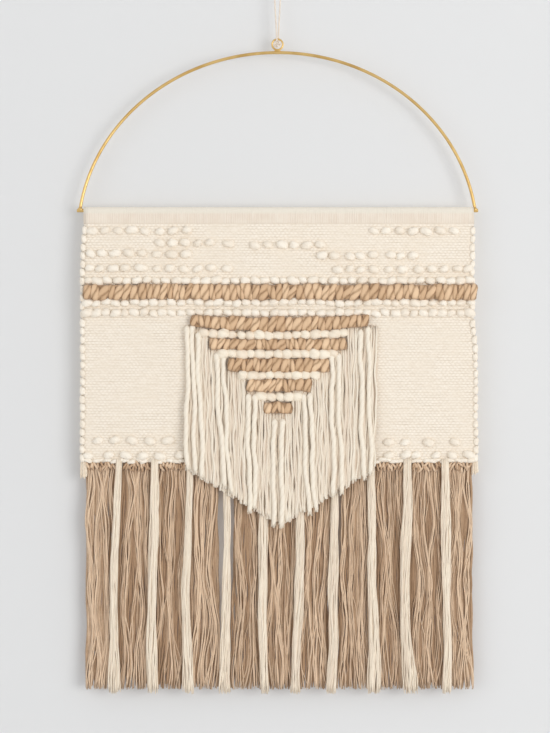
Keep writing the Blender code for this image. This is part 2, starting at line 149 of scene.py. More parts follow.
class Graph:
    """A material's node tree with a Principled BSDF."""

    def __init__(self, name: str) -> None:
        """Make the material.

        Args:
            name: The material's name.
        """
        self.material = bpy.data.materials.new(name)
        self.material.use_nodes = True
        self.tree = self.material.node_tree
        self.shader = self.tree.nodes["Principled BSDF"]

    def node(self, kind: str, settings: dict | None = None, inputs: dict | None = None,
             output: int | str = 0) -> Wire:
        """Add a node.

        Args:
            kind: The node's type.
            settings: Its properties, set first.
            inputs: Values or wires for its input sockets, by name or number.
            output: Which output is wanted.

        Returns:
            That output.
        """
        made = self.tree.nodes.new(kind)
        for name, value in (settings or {}).items():
            setattr(made, name, value)
        for key, value in (inputs or {}).items():
            if isinstance(value, Wire):
                self.tree.links.new(value.socket, made.inputs[key])
            else:
                made.inputs[key].default_value = value
        return Wire(self, made.outputs[output])

    def mix(self, share: Wire | float, first: Wire | Rgb, second: Wire | Rgb) -> Wire:
        """A colour from the first to the second as share goes from 0 to 1."""
        ends = [c if isinstance(c, Wire) else (*c, 1.0) for c in (first, second)]
        return self.node("ShaderNodeMix", {"data_type": "RGBA"}, {0: share, 6: ends[0], 7: ends[1]}, 2)

    def noise(self, vector: Wire, scale: float, detail: float = 2.0, rough: float = 0.5) -> Wire:
        """Smooth noise from 0 to 1."""
        inputs = {"Vector": vector, "Scale": scale, "Detail": detail, "Roughness": rough}
        return self.node("ShaderNodeTexNoise", {}, inputs)

    def kept(self, name: str) -> Wire:
        """The value kept on the mesh under this name."""
        return self.node("ShaderNodeAttribute", {"attribute_name": name}, {}, "Fac")

    def patches(self, scale: float, detail: float = 2.0) -> Wire:
        """Noise on Object coordinates."""
        return self.noise(self.node("ShaderNodeTexCoord", {}, {}, "Object"), scale, detail)

    def flat_place(self) -> Wire:
        """The mesh's own UV map: round a yarn or across the cloth, and along it, in metres."""
        return self.node("ShaderNodeUVMap", {"uv_map": "lay"}, {})

    def grain(self, around: float, along: float, detail: float = 2.0, rough: float = 0.5) -> Wire:
        """Noise on the mesh's own map, so fine round it and so fine along it."""
        place = self.node("ShaderNodeVectorMath", {"operation": "MULTIPLY"},
                          {0: self.flat_place(), 1: (around, along, 1.0)})
        return self.noise(place, 1.0, detail, rough)

    def finish(self, colour: Wire | None = None, rough: Wire | None = None, height: Wire | None = None,
               depth: float = 0.0002, **plain: float) -> bpy.types.Material:
        """Join what varies to the shader and set what doesn't.

        Args:
            colour: Base colour.
            rough: Roughness.
            height: Height for the bump, from 0 to 1.
            depth: What a height of 1 stands for, in metres.
            **plain: Other sockets of the shader, with _ for a blank.

        Returns:
            The material.
        """
        normal = None
        if height is not None:
            normal = self.node("ShaderNodeBump", {}, {"Height": height, "Distance": depth, "Strength": 1.0})
        for name, wire in (("Base Color", colour), ("Roughness", rough), ("Normal", normal)):
            if wire is not None:
                self.tree.links.new(wire.socket, self.shader.inputs[name])
        for name, value in plain.items():
            self.shader.inputs[name.replace("_", " ")].default_value = value
        return self.material

    def woolly(self, colour: Wire, height: Wire, depth: float, rough: float,
               fuzz: float) -> bpy.types.Material:
        """Finish a yarn or a cloth: dull, with a sheen of loose fibre."""
        return self.finish(colour, None, height, depth, Roughness=rough, Sheen_Weight=fuzz,
                           Sheen_Roughness=0.5, Specular_IOR_Level=0.15)


# --- Finishes ---


class Slot(Enum):
    """The record's material slots."""

    BRASS = "brass_wire"
    CORD = "hanging_cord"
    CREAM = "cream_yarn"
    TAN = "tan_yarn"


@dataclass(frozen=True)
class YarnFinish:
    """Spun yarn: a tone kept strand by strand, painted shade in grooves and at sides, and fibre streaks."""

    name: str
    bright: Rgb
    dull: Rgb
    # Colour of painted shade, mixed in as the kept shade falls.
    groove: Rgb
    streaks: float = 0.5
    around: float = 5.0
    along: float = 260.0
    slot: Slot = Slot.CREAM

    def dress(self) -> bpy.types.Material:
        """Build the material.

        Returns:
            The material.
        """
        g = Graph(self.name)
        fibres = g.grain(self.around, self.along, 5.0, 0.78)
        tone = g.kept("tone") + 0.5 * (g.patches(55.0) - 0.5)
        body = g.mix(tone.between(0.0, 1.0), self.dull, self.bright)
        # The kept shade is painted shade; the fibre streaks are the yarn's own tone.
        light = g.kept("shade") + self.streaks * (fibres - 0.5)
        colour = g.mix(light.between(-0.1, 1.0), self.groove, body)
        return g.woolly(colour, fibres + 0.3 * g.patches(1400.0), 0.0005, 0.92, 0.3)


@dataclass(frozen=True)
class ClothFinish:
    """Plain weave of slubby cream weft, its hem showing upright ribs instead."""

    name: str = "woven_cream"
    bright: Rgb = srgb(246, 236, 222)
    dull: Rgb = srgb(230, 217, 199)
    # Colour of painted shade between the weft ribs and along the hem's crease.
    gap: Rgb = srgb(198, 179, 155)
    hem: Rgb = srgb(235, 224, 209)
    hem_dull: Rgb = srgb(225, 210, 193)
    # Colour of a painted highlight on the top of the turn over the rod and on the flap behind.
    fold_highlight: Rgb = srgb(231, 223, 209)
    weft: float = 0.0034
    warp: float = 0.0052
    hem_rib: float = 0.0029
    # How far along the sheet the painted highlight begins.
    fold_highlight_starts: float = 0.3140
    slot: Slot = Slot.CREAM

    def dress(self) -> bpy.types.Material:
        """Build the material.

        The weave is a row of dashes on each weft, shifted by half a dash from row to row and blurred by
        noise stretched along the weft. The hem has streaks along the warp. Painted shade darkens the ground
        between the weft ribs and along the step at the hem's edge, and a painted highlight lightens the top
        of the turn over the rod and the flap behind.

        Returns:
            The material.
        """
        g = Graph(self.name)
        across, down = (g.node("ShaderNodeSeparateXYZ", {}, {0: g.flat_place()}, i) for i in (0, 1))
        row = (down / self.weft).floor()
        jog = 5.0 * g.grain(45.0, 290.0)
        dashes = 0.5 + 0.5 * (across * (TURN / self.warp) + row * math.pi + jog).sine()
        ribs = (down * (math.pi / self.weft)).sine().size()
        uneven = g.grain(120.0, 400.0, 3.0, 0.65)
        slubs = g.grain(22.0, 294.0, 1.0)
        clear = g.patches(28.0).between(0.35, 0.65)
        # The ribs term darkens the ground between weft ribs, painted shade; dashes, unevenness and slubs are the
        # weave's own tone.
        weave = 0.36 * dashes * (0.4 + 0.6 * clear) + 0.18 * ribs + 1.0 * (uneven - 0.25) + 0.30 * slubs
        ground = g.mix(weave.between(0.25, 1.05), self.dull, self.bright)
        # Painted shade between the weft ribs, broken up by slubs and unevenness, mixed toward the gap colour.
        hollow_shade_mix = (ribs.between(0.0, 0.42) + 0.9 * slubs + 0.5 * (uneven - 0.5)).between(0.2, 1.0)
        ground = g.mix(hollow_shade_mix, g.mix(clear, self.dull, self.gap), ground)
        streaks = g.grain(620.0, 30.0, 3.0, 0.6)
        upright = 0.08 * (across * (TURN / self.hem_rib) + 2.0 * streaks).sine() + streaks
        worn = (upright + 0.6 * (g.patches(60.0) - 0.5)).between(0.15, 0.85)
        # Painted highlight: near the top of the face the hem turns to the lighter colour, over the rod and down
        # the flap.
        band = g.mix(down.between(self.fold_highlight_starts, self.fold_highlight_starts + 0.0040),
                     g.mix(worn, self.hem_dull, self.hem), self.fold_highlight)
        hemmed = g.kept("hem")
        # The kept shade pulls the hem's crease toward the gap colour: painted shade.
        colour = g.mix(g.kept("shade"), self.gap, g.mix(hemmed, ground, band))
        return g.woolly(colour, weave * (1.0 - hemmed) + upright * hemmed, 0.0007, 0.94, 0.25)


@dataclass(frozen=True)
class BrassFinish:
    """Brushed brass wire, a little uneven."""

    name: str = "brass_wire_drawn"
    bright: Rgb = srgb(229, 194, 128)
    dull: Rgb = srgb(203, 163, 97)
    slot: Slot = Slot.BRASS

    def dress(self) -> bpy.types.Material:
        """Build the material.

        Returns:
            The material.
        """
        g = Graph(self.name)
        drawn = g.grain(9.0, 30.0, 3.0)
        colour = g.mix(g.patches(35.0, 3.0).between(0.35, 0.75), self.bright, self.dull)
        return g.finish(colour, 0.26 + 0.16 * drawn, drawn, 0.00004, Metallic=1.0)


class Yarns(Enum):
    """The yarns of the hanging."""

    LOOPS = YarnFinish("cream_loops", srgb(250, 241, 227), srgb(243, 231, 214), srgb(206, 187, 162),
                       0.55, 17, 240)
    # A warmer, duller copy of the cream loops for the rows between the roving: painted bounce light and shade.
    ROW_LOOPS_SHADED = YarnFinish("cream_row_loops", srgb(248, 237, 218), srgb(240, 224, 203), srgb(200, 176, 147),
                           0.55, 17, 240)
    CORDS = YarnFinish("cream_cords", srgb(243, 233, 216), srgb(233, 217, 198), srgb(196, 173, 146), 0.35)
    TASSELS = YarnFinish("cream_strands", srgb(247, 234, 214), srgb(232, 214, 193), srgb(188, 164, 135))
    ROVING = YarnFinish("tan_roving", srgb(237, 204, 168), srgb(214, 179, 143), srgb(122, 86, 52),
                        0.75, 20, 110, Slot.TAN)
    TAN = YarnFinish("tan_strands", srgb(236, 208, 178), srgb(188, 155, 124), srgb(128, 98, 72),
                     slot=Slot.TAN)
    STRING = YarnFinish("hanging_string", srgb(238, 226, 212), srgb(226, 208, 190), srgb(176, 156, 134),
                        0.3, along=500, slot=Slot.CORD)


# --- Yarn as tubes ---


@dataclass(frozen=True)
class Ply:
    """How a yarn is plied and spun.

    It has so many plies, grooves so deep and painted shade in them so dark, and one turn of the plies
    takes so much length. A square below 1 makes the outline boxier, ragged is how uneven the surface
    is, and sharp how narrow a valley of painted shade at its sides is.
    """

    plies: int
    groove: float
    turn: float
    dark: float
    square: float = 1.0
    ragged: float = 0.0
    sharp: float = 1.0


class Twist(Enum):
    """The kinds of yarn."""

    SMOOTH = Ply(1, 0.0, 1.0, 0.0)
    ROVING = Ply(4, 0.12, 0.052, 0.80, 0.90, 0.06, 1.7)
    LOOP = Ply(4, 0.10, 0.034, 0.40, 0.91, 0.11)
    CORD = Ply(2, 0.10, 0.024, 0.30)
    STRAND = Ply(2, 0.16, 0.011, 0.45)
    STRING = Ply(2, 0.26, 0.0060, 0.70)


@dataclass
class Bundle:
    """Tubes gathered into one mesh, each a ply outline carried along a path."""

    across: Point = FRONT
    sides: int = 6
    parts: list = field(default_factory=list)
    count: int = 0
    # Radians that a yarn's lumps turn through in a metre, and how far the map shifts from tube to tube.
    LUMPS: ClassVar[tuple[float, float]] = (900.0, 640.0)
    SHIFT: ClassVar[float] = 0.37

    def lay(self, paths: np.ndarray, radii: Values, tone: Values = 1.0, shade: Values = 1.0,
            twist: Twist = Twist.SMOOTH, flat: Values = 1.0, phase: Values = 0.0, valley: Values = 0.0,
            closed: bool = False) -> None:
        """Add tubes of equally many rings.

        The outline at angle a is radius * (1 - groove * (1 - |cos(plies / 2 * (a - turn))|)), where turn
        grows by a circle over each turn of the ply, so the grooves wind round the yarn. The lumps of a
        ragged yarn go round it two and three times, and along it. The kept shade is painted shade: it
        deepens in the grooves by the ply's darkness and falls by valley * (sharp * (1 - |y|))^1.5 towards
        the yarn's sides, y being how far it faces the front.

        Args:
            paths: Points of the middle lines, shaped tubes by rings by 3.
            radii: Radius, that broadcasts to tubes by rings.
            tone: Which tube is bright, 1, or dull, 0.
            shade: Painted shade, 1 in the open and 0 in a deep groove.
            twist: The yarn's ply.
            flat: The outline's second axis as a share of its first, which lies across the across vector.
            phase: Where the plies start round the yarn.
            valley: How much painted shade darkens its sides, where its neighbours lie against it.
            closed: Whether each path closes on itself.
        """
        tubes, rings = paths.shape[:2]
        last = rings if closed else rings - 1
        steps = np.linalg.norm(np.roll(paths, -1, 1) - paths, axis=2)
        length = np.pad(np.cumsum(steps[:, :-1], axis=1), ((0, 0), (1, 0)))
        ahead = np.roll(paths, -1, 1) - np.roll(paths, 1, 1) if closed else np.gradient(paths, axis=1)
        ahead /= np.linalg.norm(ahead, axis=2, keepdims=True)
        first = np.cross(ahead, np.array(self.across))
        first /= np.linalg.norm(first, axis=2, keepdims=True)
        second = np.cross(ahead, first)
        turn = TURN * np.arange(self.sides) / self.sides
        ply = twist.value
        around = float(steps[0].sum())
        lay = around / max(1, round(around / ply.turn)) if closed else ply.turn
        start = np.broadcast_to(phase, (tubes,))[:, None, None]
        ridge = np.abs(np.cos(ply.plies / 2 * (turn - TURN * length[..., None] / lay - start)))
        rising, falling = (rate * length[..., None] for rate in self.LUMPS)
        lumps = np.sin(2 * turn + rising + start) * np.sin(3 * turn - falling)
        size, lit, dip = (np.broadcast_to(own, (tubes, rings))[..., None] for own in (radii, shade, valley))
        size = size * (1 - ply.groove * (1 - ridge)) * (1 + ply.ragged * lumps)
        wide, tall = ((np.sign(w) * np.abs(w) ** ply.square)[:, None] for w in (np.cos(turn), np.sin(turn)))
        spread = wide * first[:, :, None] + flat * tall * second[:, :, None]
        # Painted shade: darker in the ply grooves and at the sides that turn away from the front.
        lit = lit * (1 - ply.dark * (1 - ridge) ** 1.6)
        lit = lit * (1 - dip * np.clip(ply.sharp * (1 - np.abs(spread[..., 1])), 0, 1) ** 1.5)
        tones = np.broadcast_to(np.asarray(tone, float).reshape(-1, 1, 1), lit.shape)

        at = self.count + np.arange(tubes * rings * self.sides).reshape(tubes, rings, self.sides)
        after = np.roll(at, -1, 2)
        following = np.roll(np.arange(rings), -1)[:last]
        quads = np.stack([at[:, :last], after[:, :last], after[:, following], at[:, following]], axis=-1)
        left = np.arange(self.sides) / self.sides + np.arange(tubes)[:, None, None] * self.SHIFT
        right = left + 1 / self.sides
        near = length[:, :last, None]
        far = near + steps[:, :last, None]
        lines = np.broadcast_arrays(left, near, right, near, right, far, left, far)
        caps = np.zeros((0, self.sides), int)
        cap_corners = np.zeros((0, 2))
        if not closed:
            caps = np.concatenate([at[:, 0, ::-1], at[:, -1]])
            ends = np.concatenate([length[:, 0], length[:, -1]])
            cap_corners = np.stack([np.full(caps.size, 0.5), np.repeat(ends, self.sides)], axis=-1)
        points = (paths[:, :, None] + size[..., None] * spread).reshape(-1, 3)
        self.parts.append((points, quads.reshape(-1, 4), np.stack(lines, -1).reshape(-1, 2), caps,
                           cap_corners, tones.ravel(), lit.ravel()))
        self.count += tubes * rings * self.sides

    def mesh(self, name: str) -> bpy.types.Mesh:
        """The mesh of all that was laid.

        Args:
            name: Its name.

        Returns:
            The mesh, its faces outwards, with its map and what it keeps point by point.
        """
        points, quads, corners, caps, cap_corners, tones, lit = zip(*self.parts, strict=True)
        kept = {"tone": np.concatenate(tones), "shade": np.concatenate(lit)}
        lay = np.concatenate([*corners, *cap_corners])
        return mesh_of(name, np.concatenate(points), [*quads, *caps], lay, kept)


def mesh_of(name: str, points: np.ndarray, faces: list[np.ndarray], corners: np.ndarray,
            kept: dict[str, np.ndarray]) -> bpy.types.Mesh:
    """A mesh from whole arrays, its quads smooth and its end caps flat.

    Args:
        name: The mesh's name.
        points: Its points.
        faces: Arrays of faces, each array of one number of corners.
        corners: The map's place of each corner of each face, in that order.
        kept: Numbers kept point by point.

    Returns:
        The mesh.
    """
    mesh = bpy.data.meshes.new(name)
    loops = np.concatenate([block.ravel() for block in faces])
    sizes = np.concatenate([np.full(len(block), block.shape[1]) for block in faces])
    starts = np.concatenate([[0], np.cumsum(sizes)[:-1]])
    mesh.vertices.add(len(points))
    mesh.vertices.foreach_set("co", points.astype(np.float32).ravel())
    mesh.loops.add(len(loops))
    mesh.loops.foreach_set("vertex_index", loops.astype(np.int32))
    mesh.polygons.add(len(sizes))
    mesh.polygons.foreach_set("loop_start", starts.astype(np.int32))
    mesh.polygons.foreach_set("use_smooth", sizes == 4)
    mesh.update(calc_edges=True)
    mesh.uv_layers.new(name="lay").data.foreach_set("uv", corners.astype(np.float32).ravel())
    for label, values in kept.items():
        mesh.attributes.new(label, "FLOAT", "POINT").data.foreach_set("value", values.astype(np.float32))
    mesh.validate()
    return mesh


@cache
def material_of(finish: YarnFinish | ClothFinish | BrassFinish) -> bpy.types.Material:
    """The material of this finish, made once."""
    return finish.dress()


def add_piece(name: str, mesh: bpy.types.Mesh, finish: YarnFinish | ClothFinish | BrassFinish,
              *nodes: str) -> bpy.types.Object:
    """Add a piece to the scene, riding on the root body.

    Args:
        name: The piece's name.
        mesh: Its mesh, in place.
        finish: Its finish, which knows the record's slot.
        *nodes: The CAD nodes that it stands for.

    Returns:
        The new object.
    """
    piece = bpy.data.objects.new(name, mesh)
    mesh.materials.append(material_of(finish))
    bpy.context.scene.collection.objects.link(piece)
    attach(piece, "root")
    if nodes:
        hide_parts(*nodes)
    LOG.info("%s: %d faces, for %s", name, len(mesh.polygons), ", ".join(nodes) or "no node")
    return piece


# --- Hanger and cord ---


@dataclass
class WireHanger:
    """Half-moon of brass wire: an arc soldered to a straight rod, with a ring on its crown."""

    wire: float = 0.0020
    half_width: float = 0.2540
    half_height: float = 0.2337
    centre_z: float = ROD_Z - 0.0325
    rod_half: float = 0.2553
    # How far in from a rod's end its cut is dressed, and its thickness there.
    rod_ends: Table = ((0.0, 0.62), (0.00015, 0.82), (0.0006, 0.96), (0.0012, 1.0))
    ring_radius: float = 0.0068
    ring_wire: float = 0.0012
    gap: float = 0.0003

    @property
    def ring_z(self) -> float:
        """Height of the ring's middle."""
        return self.centre_z + self.half_height + self.wire + self.gap + self.ring_wire + self.ring_radius

    def arc(self) -> np.ndarray:
        """The arc's middle line: part of an ellipse, from one foot on the rod over the crown to the other.

        Returns:
            Its points.
        """
        foot = ROD_Z + 2 * self.gap + self.wire
        reach = math.acos((foot - self.centre_z) / self.half_height)
        turn = np.linspace(-reach, reach, 181)
        return xyz(self.half_width * np.sin(turn), 0.0, self.centre_z + self.half_height * np.cos(turn))

    def solder(self, bundle: Bundle, x: float, z: float, long: float, high: float) -> None:
        """Add a drop of solder: a long round along X.

        Args:
            bundle: The bundle that takes it.
            x: Place of its middle.
            z: Height of its middle.
            long: Half its length.
            high: Half its height.
        """
        end = 0.5 * math.pi - 0.12
        turn = np.linspace(-end, end, 9)
        bundle.lay(xyz(x + long * np.sin(turn), 0.0, z)[None], (high * np.cos(turn))[None])

    def build(self) -> None:
        """Make the arc, the rod, the ring and the solder."""
        arc, rod, ring = Bundle(sides=16), Bundle(sides=20), Bundle(sides=14)
        path = self.arc()
        arc.lay(path[None], self.wire)
        for foot in (path[0], path[-1]):
            self.solder(arc, foot[0], foot[2] - 0.0008, 0.0034, 0.0024)
        inwards, sizes = np.array(self.rod_ends).T
        middle = np.linspace(-self.rod_half + 0.004, self.rod_half - 0.004, 60)
        x = np.concatenate([inwards - self.rod_half, middle, self.rod_half - inwards[::-1]])
        radii = self.wire * np.concatenate([sizes, np.ones(len(middle)), sizes[::-1]])
        rod.lay(xyz(x, 0.0, ROD_Z)[None], radii[None])
        turn = np.linspace(0, TURN, 64, endpoint=False)
        circle = xyz(self.ring_radius * np.sin(turn), 0.0, self.ring_z + self.ring_radius * np.cos(turn))
        ring.lay(circle[None], self.ring_wire, closed=True)
        self.solder(ring, 0.0, self.ring_z - self.ring_radius - 0.0012, 0.0040, 0.0011)
        for name, bundle in (("arc", arc), ("rod", rod), ("ring", ring)):
            add_piece(f"wire_{name}", bundle.mesh(f"wire_{name}"), BrassFinish(), f"hanger_{name}")


@dataclass
class HangingString:
    """One thin plied cord from its knot in the ring, up over the nail and back to the knot."""

    radius: float = 0.0011
    knot_width: float = 0.0024
    knot_swing: float = 0.0013
    knot_depth: float = 0.0016
    rising: tuple[Point, ...] = (
        (-0.0007, -0.0036, -0.0709), (-0.0009, -0.0046, -0.0698), (-0.0010, -0.0048, -0.0680),
        (-0.0011, -0.0039, -0.0655), (-0.0012, -0.0026, -0.0625), (-0.0014, -0.0012, -0.0585),
        (-0.0018, -0.0003, -0.0500), (-0.0024, 0.0, -0.0390), (-0.0030, 0.0, -0.0280),
        (-0.0036, 0.0, -0.0170), (-0.0040, 0.0, -0.0085), (-0.0041, 0.0, -0.0040),
        (-0.0036, 0.0, -0.0012), (-0.0021, 0.0, 0.0005), (0.0, 0.0, 0.0011),
    )

    def route(self, steps: int = 5) -> np.ndarray:
        """The cord's middle line: a Catmull-Rom curve through the rising points and their mirror.

        Args:
            steps: Points to each span.

        Returns:
            Points along the cord.
        """
        rising = np.array(self.rising)
        falling = rising[-2::-1] * np.array((-1.0, -1.0, 1.0))
        points = np.concatenate([rising[:1], rising, falling, falling[-1:]])
        before, start, end, after = (points[i:len(points) - 3 + i, None] for i in range(4))
        t = np.linspace(0, 1, steps, endpoint=False)[None, :, None]
        bend = (end - before) * t + (2 * before - 5 * start + 4 * end - after) * t**2
        curve = start + (bend + (3 * start - before - 3 * end + after) * t**3) / 2
        return np.concatenate([curve.reshape(-1, 3), points[-1:]])

    def build(self, ring_z: float) -> None:
        """The knot follows (R + a cos 3t) at angle 2t a little above the ring's middle, b sin 3t in front of it.

        Args:
            ring_z: Height of the ring's middle.
        """
        turn = np.linspace(0, TURN, 120, endpoint=False)
        wide = self.knot_width + self.knot_swing * np.cos(3 * turn)
        knot = Bundle(across=(0.12, -1.0, 0.21), sides=9)
        middle = ring_z + 0.0006
        path = xyz(wide * np.sin(2 * turn), -self.knot_depth * np.sin(3 * turn),
                   middle + wide * np.cos(2 * turn))
        knot.lay(path[None], self.radius * 1.12, twist=Twist.STRING, closed=True)
        tied = add_piece("string_knot", knot.mesh("string_knot"), Yarns.STRING.value, "cord_knot")

        route = self.route()
        string = Bundle(sides=9)
        string.lay(route[None], self.radius, twist=Twist.STRING)
        mesh = string.mesh("string_over_nail")
        piece = add_piece("string_over_nail", mesh, Yarns.STRING.value, "hanging_cord")


# --- Cloth ---


@dataclass
class WovenCloth:
    """One sheet of weaving: its face hangs from the rod, its top turned over the rod and sewn down behind."""

    flat_width: float = 0.5030
    thick: float = 0.0025
    pocket: float = 0.0050
    pocket_z: float = ROD_Z + 0.0023 - 0.0025
    flap: float = 0.0175
    hem_drop: float = 0.0166
    hem_step: float = 0.0012
    weft: float = 0.0034
    rib: float = 0.00035
    puff: float = 0.0003
    scallop: float = 0.0107
    drawn_in: float = 0.0006
    # Radians in a metre across, and from weft to weft or in a metre up, of the ribs' swelling and the puffs.
    swelling: tuple[float, float] = (61.0, 2.4)
    puffing: tuple[float, float] = (43.0, 29.0)
    columns: int = 72
    # Drop, and x of the left and the right edge there.
    edges: Table = (
        (0.0, -0.2464, 0.2492), (0.0166, -0.2464, 0.2500), (0.0230, -0.2460, 0.2494),
        (0.0450, -0.2480, 0.2490), (0.0700, -0.2490, 0.2490), (0.1400, -0.2490, 0.2492),
        (0.1750, -0.2492, 0.2528), (0.3195, -0.2494, 0.2532),
    )

    def section(self) -> np.ndarray:
        """The sheet's middle line from the lower edge up the face, over the rod and down the flap behind.

        Returns:
            y, z and the distance along it, point by point.
        """
        mid_y = CLOTH_FACE_Y + self.thick / 2
        steps = int((self.pocket_z - CLOTH_BOTTOM_Z) / self.weft * 5)
        bend = self.pocket - self.thick / 2
        turn = np.linspace(math.pi, 0, 15)[1:]
        down = np.linspace(0, 1, 14)[1:]
        ease = down**2 * (3 - 2 * down)
        line = np.concatenate([
            np.column_stack([np.full(steps, mid_y), np.linspace(CLOTH_BOTTOM_Z, self.pocket_z, steps)]),
            np.column_stack([bend * np.cos(turn), self.pocket_z + bend * np.sin(turn)]),
            np.column_stack([bend + (mid_y + self.thick - bend) * ease, self.pocket_z - self.flap * down]),
        ])
        along = np.concatenate([[0.0], np.cumsum(np.linalg.norm(np.diff(line, axis=0), axis=1))])
        return np.column_stack([line, along])

    def side(self, drop: np.ndarray, way: float) -> np.ndarray:
        """One edge of the face: measured straight runs, drawn in by a cosine where a weft turns.

        Args:
            drop: The drops.
            way: -1 for the left edge and 1 for the right.

        Returns:
            x of the edge at these drops.
        """
        drops, *edges = np.array(self.edges).T
        wave = self.drawn_in * (0.5 - 0.5 * np.cos(TURN * (drop - self.hem_drop) / self.scallop))
        return np.interp(drop, drops, edges[way > 0]) - way * np.where(drop > self.hem_drop, wave, 0.0)

    def build(self) -> bpy.types.Object:
        """Make the sheet: two walls half a thickness off the middle line, and their rims.

        A weft's rib stands rib * |sin(pi * along / weft)| off its wall, swelling and thinning across it.

        Returns:
            The sheet's object.
        """
        y, z, along = self.section().T
        slope = np.stack([np.gradient(y), np.gradient(z)], -1)
        slope /= np.linalg.norm(slope, axis=1, keepdims=True)
        face = np.arange(len(z)) < int(np.argmax(z))
        drop = np.maximum(np.where(face, ROD_Z - z, 0.0), 0.0)
        left, right = self.side(drop, -1)[:, None], self.side(drop, 1)[:, None]
        x = left + (right - left) * np.linspace(0, 1, self.columns + 1)
        hem = np.where(face, 1.0 - ramp(drop - self.hem_drop + self.hem_step / 2, self.hem_step), 1.0)
        ribs = np.abs(np.sin(math.pi * along / self.weft))[:, None] * (1 - hem)[:, None]
        across, jump = self.swelling
        swell = 0.65 + 0.35 * np.sin(x * across + np.floor(along / self.weft)[:, None] * jump)
        across, up = self.puffing
        puff = self.puff * np.sin(x * across + z[:, None] * up) * (1 - hem)[:, None]
        walls = []
        for way in (1.0, -1.0):
            away = way * (self.thick / 2 + self.rib * ribs * swell) + puff
            wall = xyz(x, y[:, None] - slope[:, 1:] * away, z[:, None] + slope[:, :1] * away)
            walls.append(wall.reshape(-1, 3))

        def quads(block: np.ndarray) -> np.ndarray:
            """Faces between neighbours of a grid of point numbers."""
            corners = [block[:-1, :-1], block[:-1, 1:], block[1:, 1:], block[1:, :-1]]
            return np.stack(corners, -1).reshape(-1, 4)

        at = np.arange(x.size).reshape(x.shape)
        borders = (at[0, ::-1], at[-1], at[:, 0], at[::-1, -1])
        rims = [quads(np.stack([line, line + x.size])) for line in borders]
        faces = np.concatenate([quads(at), quads(at + x.size)[:, ::-1], *rims])
        lay = np.tile(np.stack(np.broadcast_arrays(x, along[:, None]), -1).reshape(-1, 2), (2, 1))
        # Painted shade: darker along the crease where the hem meets the weave.
        crease_shade = np.clip(np.abs(drop - self.hem_drop) / self.hem_step, 0.84, 1.0)
        crease_shade = np.where(face & (drop > 0), crease_shade, 1.0)
        kept = {"hem": hem, "shade": crease_shade}
        kept = {name: np.tile(np.repeat(values, x.shape[1]), 2) for name, values in kept.items()}
        mesh = mesh_of("woven_cloth", np.concatenate(walls), [faces], lay[faces.ravel()], kept)
        return add_piece("woven_cloth", mesh, ClothFinish(), "cloth")


# --- Loops and rows ---


@dataclass(frozen=True)
class LoopYarn:
    """The yarn of a common loop: its radius, its reach to each side, its lift off the face, and how much
    painted shade darkens its sides."""

    radius: float
    reach: float
    lift: float
    soft: float


@dataclass
class Handwork:
    """A sub-assembly of yarn worked in by hand: it draws chances from its seed and lists its pieces."""

    seed: int = 0
    made: list[bpy.types.Object] = field(default_factory=list)
    # How far round an arch goes to each side, in degrees, and how deep a loop's ends sit in the cloth.
    ARC: ClassVar[float] = 115.0
    SEAT: ClassVar[float] = 0.0014

    def __post_init__(self) -> None:
        """Start the chances."""
        self.chance: np.random.Generator = np.random.default_rng(self.seed)

    def even(self, low: float, high: float, *shape: int) -> np.ndarray:
        """Chances spread evenly between two ends."""
        return self.chance.uniform(low, high, shape)

    def near(self, spread: float, *shape: int) -> np.ndarray:
        """Chances gathered round 0."""
        return self.chance.normal(0, spread, shape)

    def drift(self, strands: int, along: np.ndarray, *waves: tuple[float, float]) -> np.ndarray:
        """Sideways wander of each strand: a sum of sines along it, each with a chance start and length.

        Args:
            strands: How many strands.
            along: Distance along each strand.
            *waves: Length and height of each sine.

        Returns:
            The wander, strands by points.
        """
        total = np.zeros((strands, along.shape[-1]))
        for long, high in waves:
            start = self.even(0, TURN, strands, 1)
            total += high * np.sin(TURN * along / (long * self.even(0.75, 1.35, strands, 1)) + start)
        return total

    def add(self, name: str, bundle: Bundle, yarn: Yarns, *nodes: str) -> None:
        """Make a piece of the bundle, in place of these CAD nodes."""
        self.made.append(add_piece(name, bundle.mesh(name), yarn.value, *nodes))

    def loops(self, bundle: Bundle, yarn: LoopYarn, x: np.ndarray, drop: np.ndarray, size: float = 1.0,
              wide: float = 1.0) -> None:
        """Lay loops: x = middle + reach * sin(a), y = base - lift * cos(a), for a from -115 to 115 degrees.

        Args:
            bundle: The bundle that takes them.
            yarn: Their yarn.
            x: Their middles.
            drop: Their drops.
            size: Size against a common loop.
            wide: Width against a common loop.
        """
        turn, n = arch(self.ARC, 10), len(x)
        grown = size * self.even(0.88, 1.12, n, 1)
        reach = yarn.reach * grown * wide * self.even(0.75, 1.45, n, 1)
        tilt = self.even(-0.0016, 0.0016, n, 1)
        z = ROD_Z - drop[:, None] + self.even(-0.0007, 0.0007, n, 1)
        path = xyz(x[:, None] + reach * np.sin(turn),
                   CLOTH_FACE_Y + self.SEAT - yarn.lift * grown * np.cos(turn),
                   z + tilt * np.sin(turn) + 0.0006 * np.cos(turn))
        crest = np.cos(turn * 0.72)
        radii = yarn.radius * grown * (0.6 + 0.4 * crest) * (1 + self.drift(n, turn, (1.9, 0.07)))
        # Painted shade: darker towards the loop's feet in the cloth, and at its sides.
        shade = 0.86 + 0.14 * np.clip(crest * 1.3 - 0.15, 0, 1)
        bundle.lay(path, radii, self.even(0.2, 1.0, n), shade, Twist.LOOP, 0.98, self.even(0, TURN, n),
                   yarn.soft)


@dataclass(frozen=True)
class LoopRow:
    """A row of loops pulled out of the weave: its drop, and either x of each in millimetres, or two ends and
    how many are spread between them."""

    drop: float
    places: tuple[float, ...] = ()
    left: float = 0.0
    right: float = 0.0
    count: int = 0


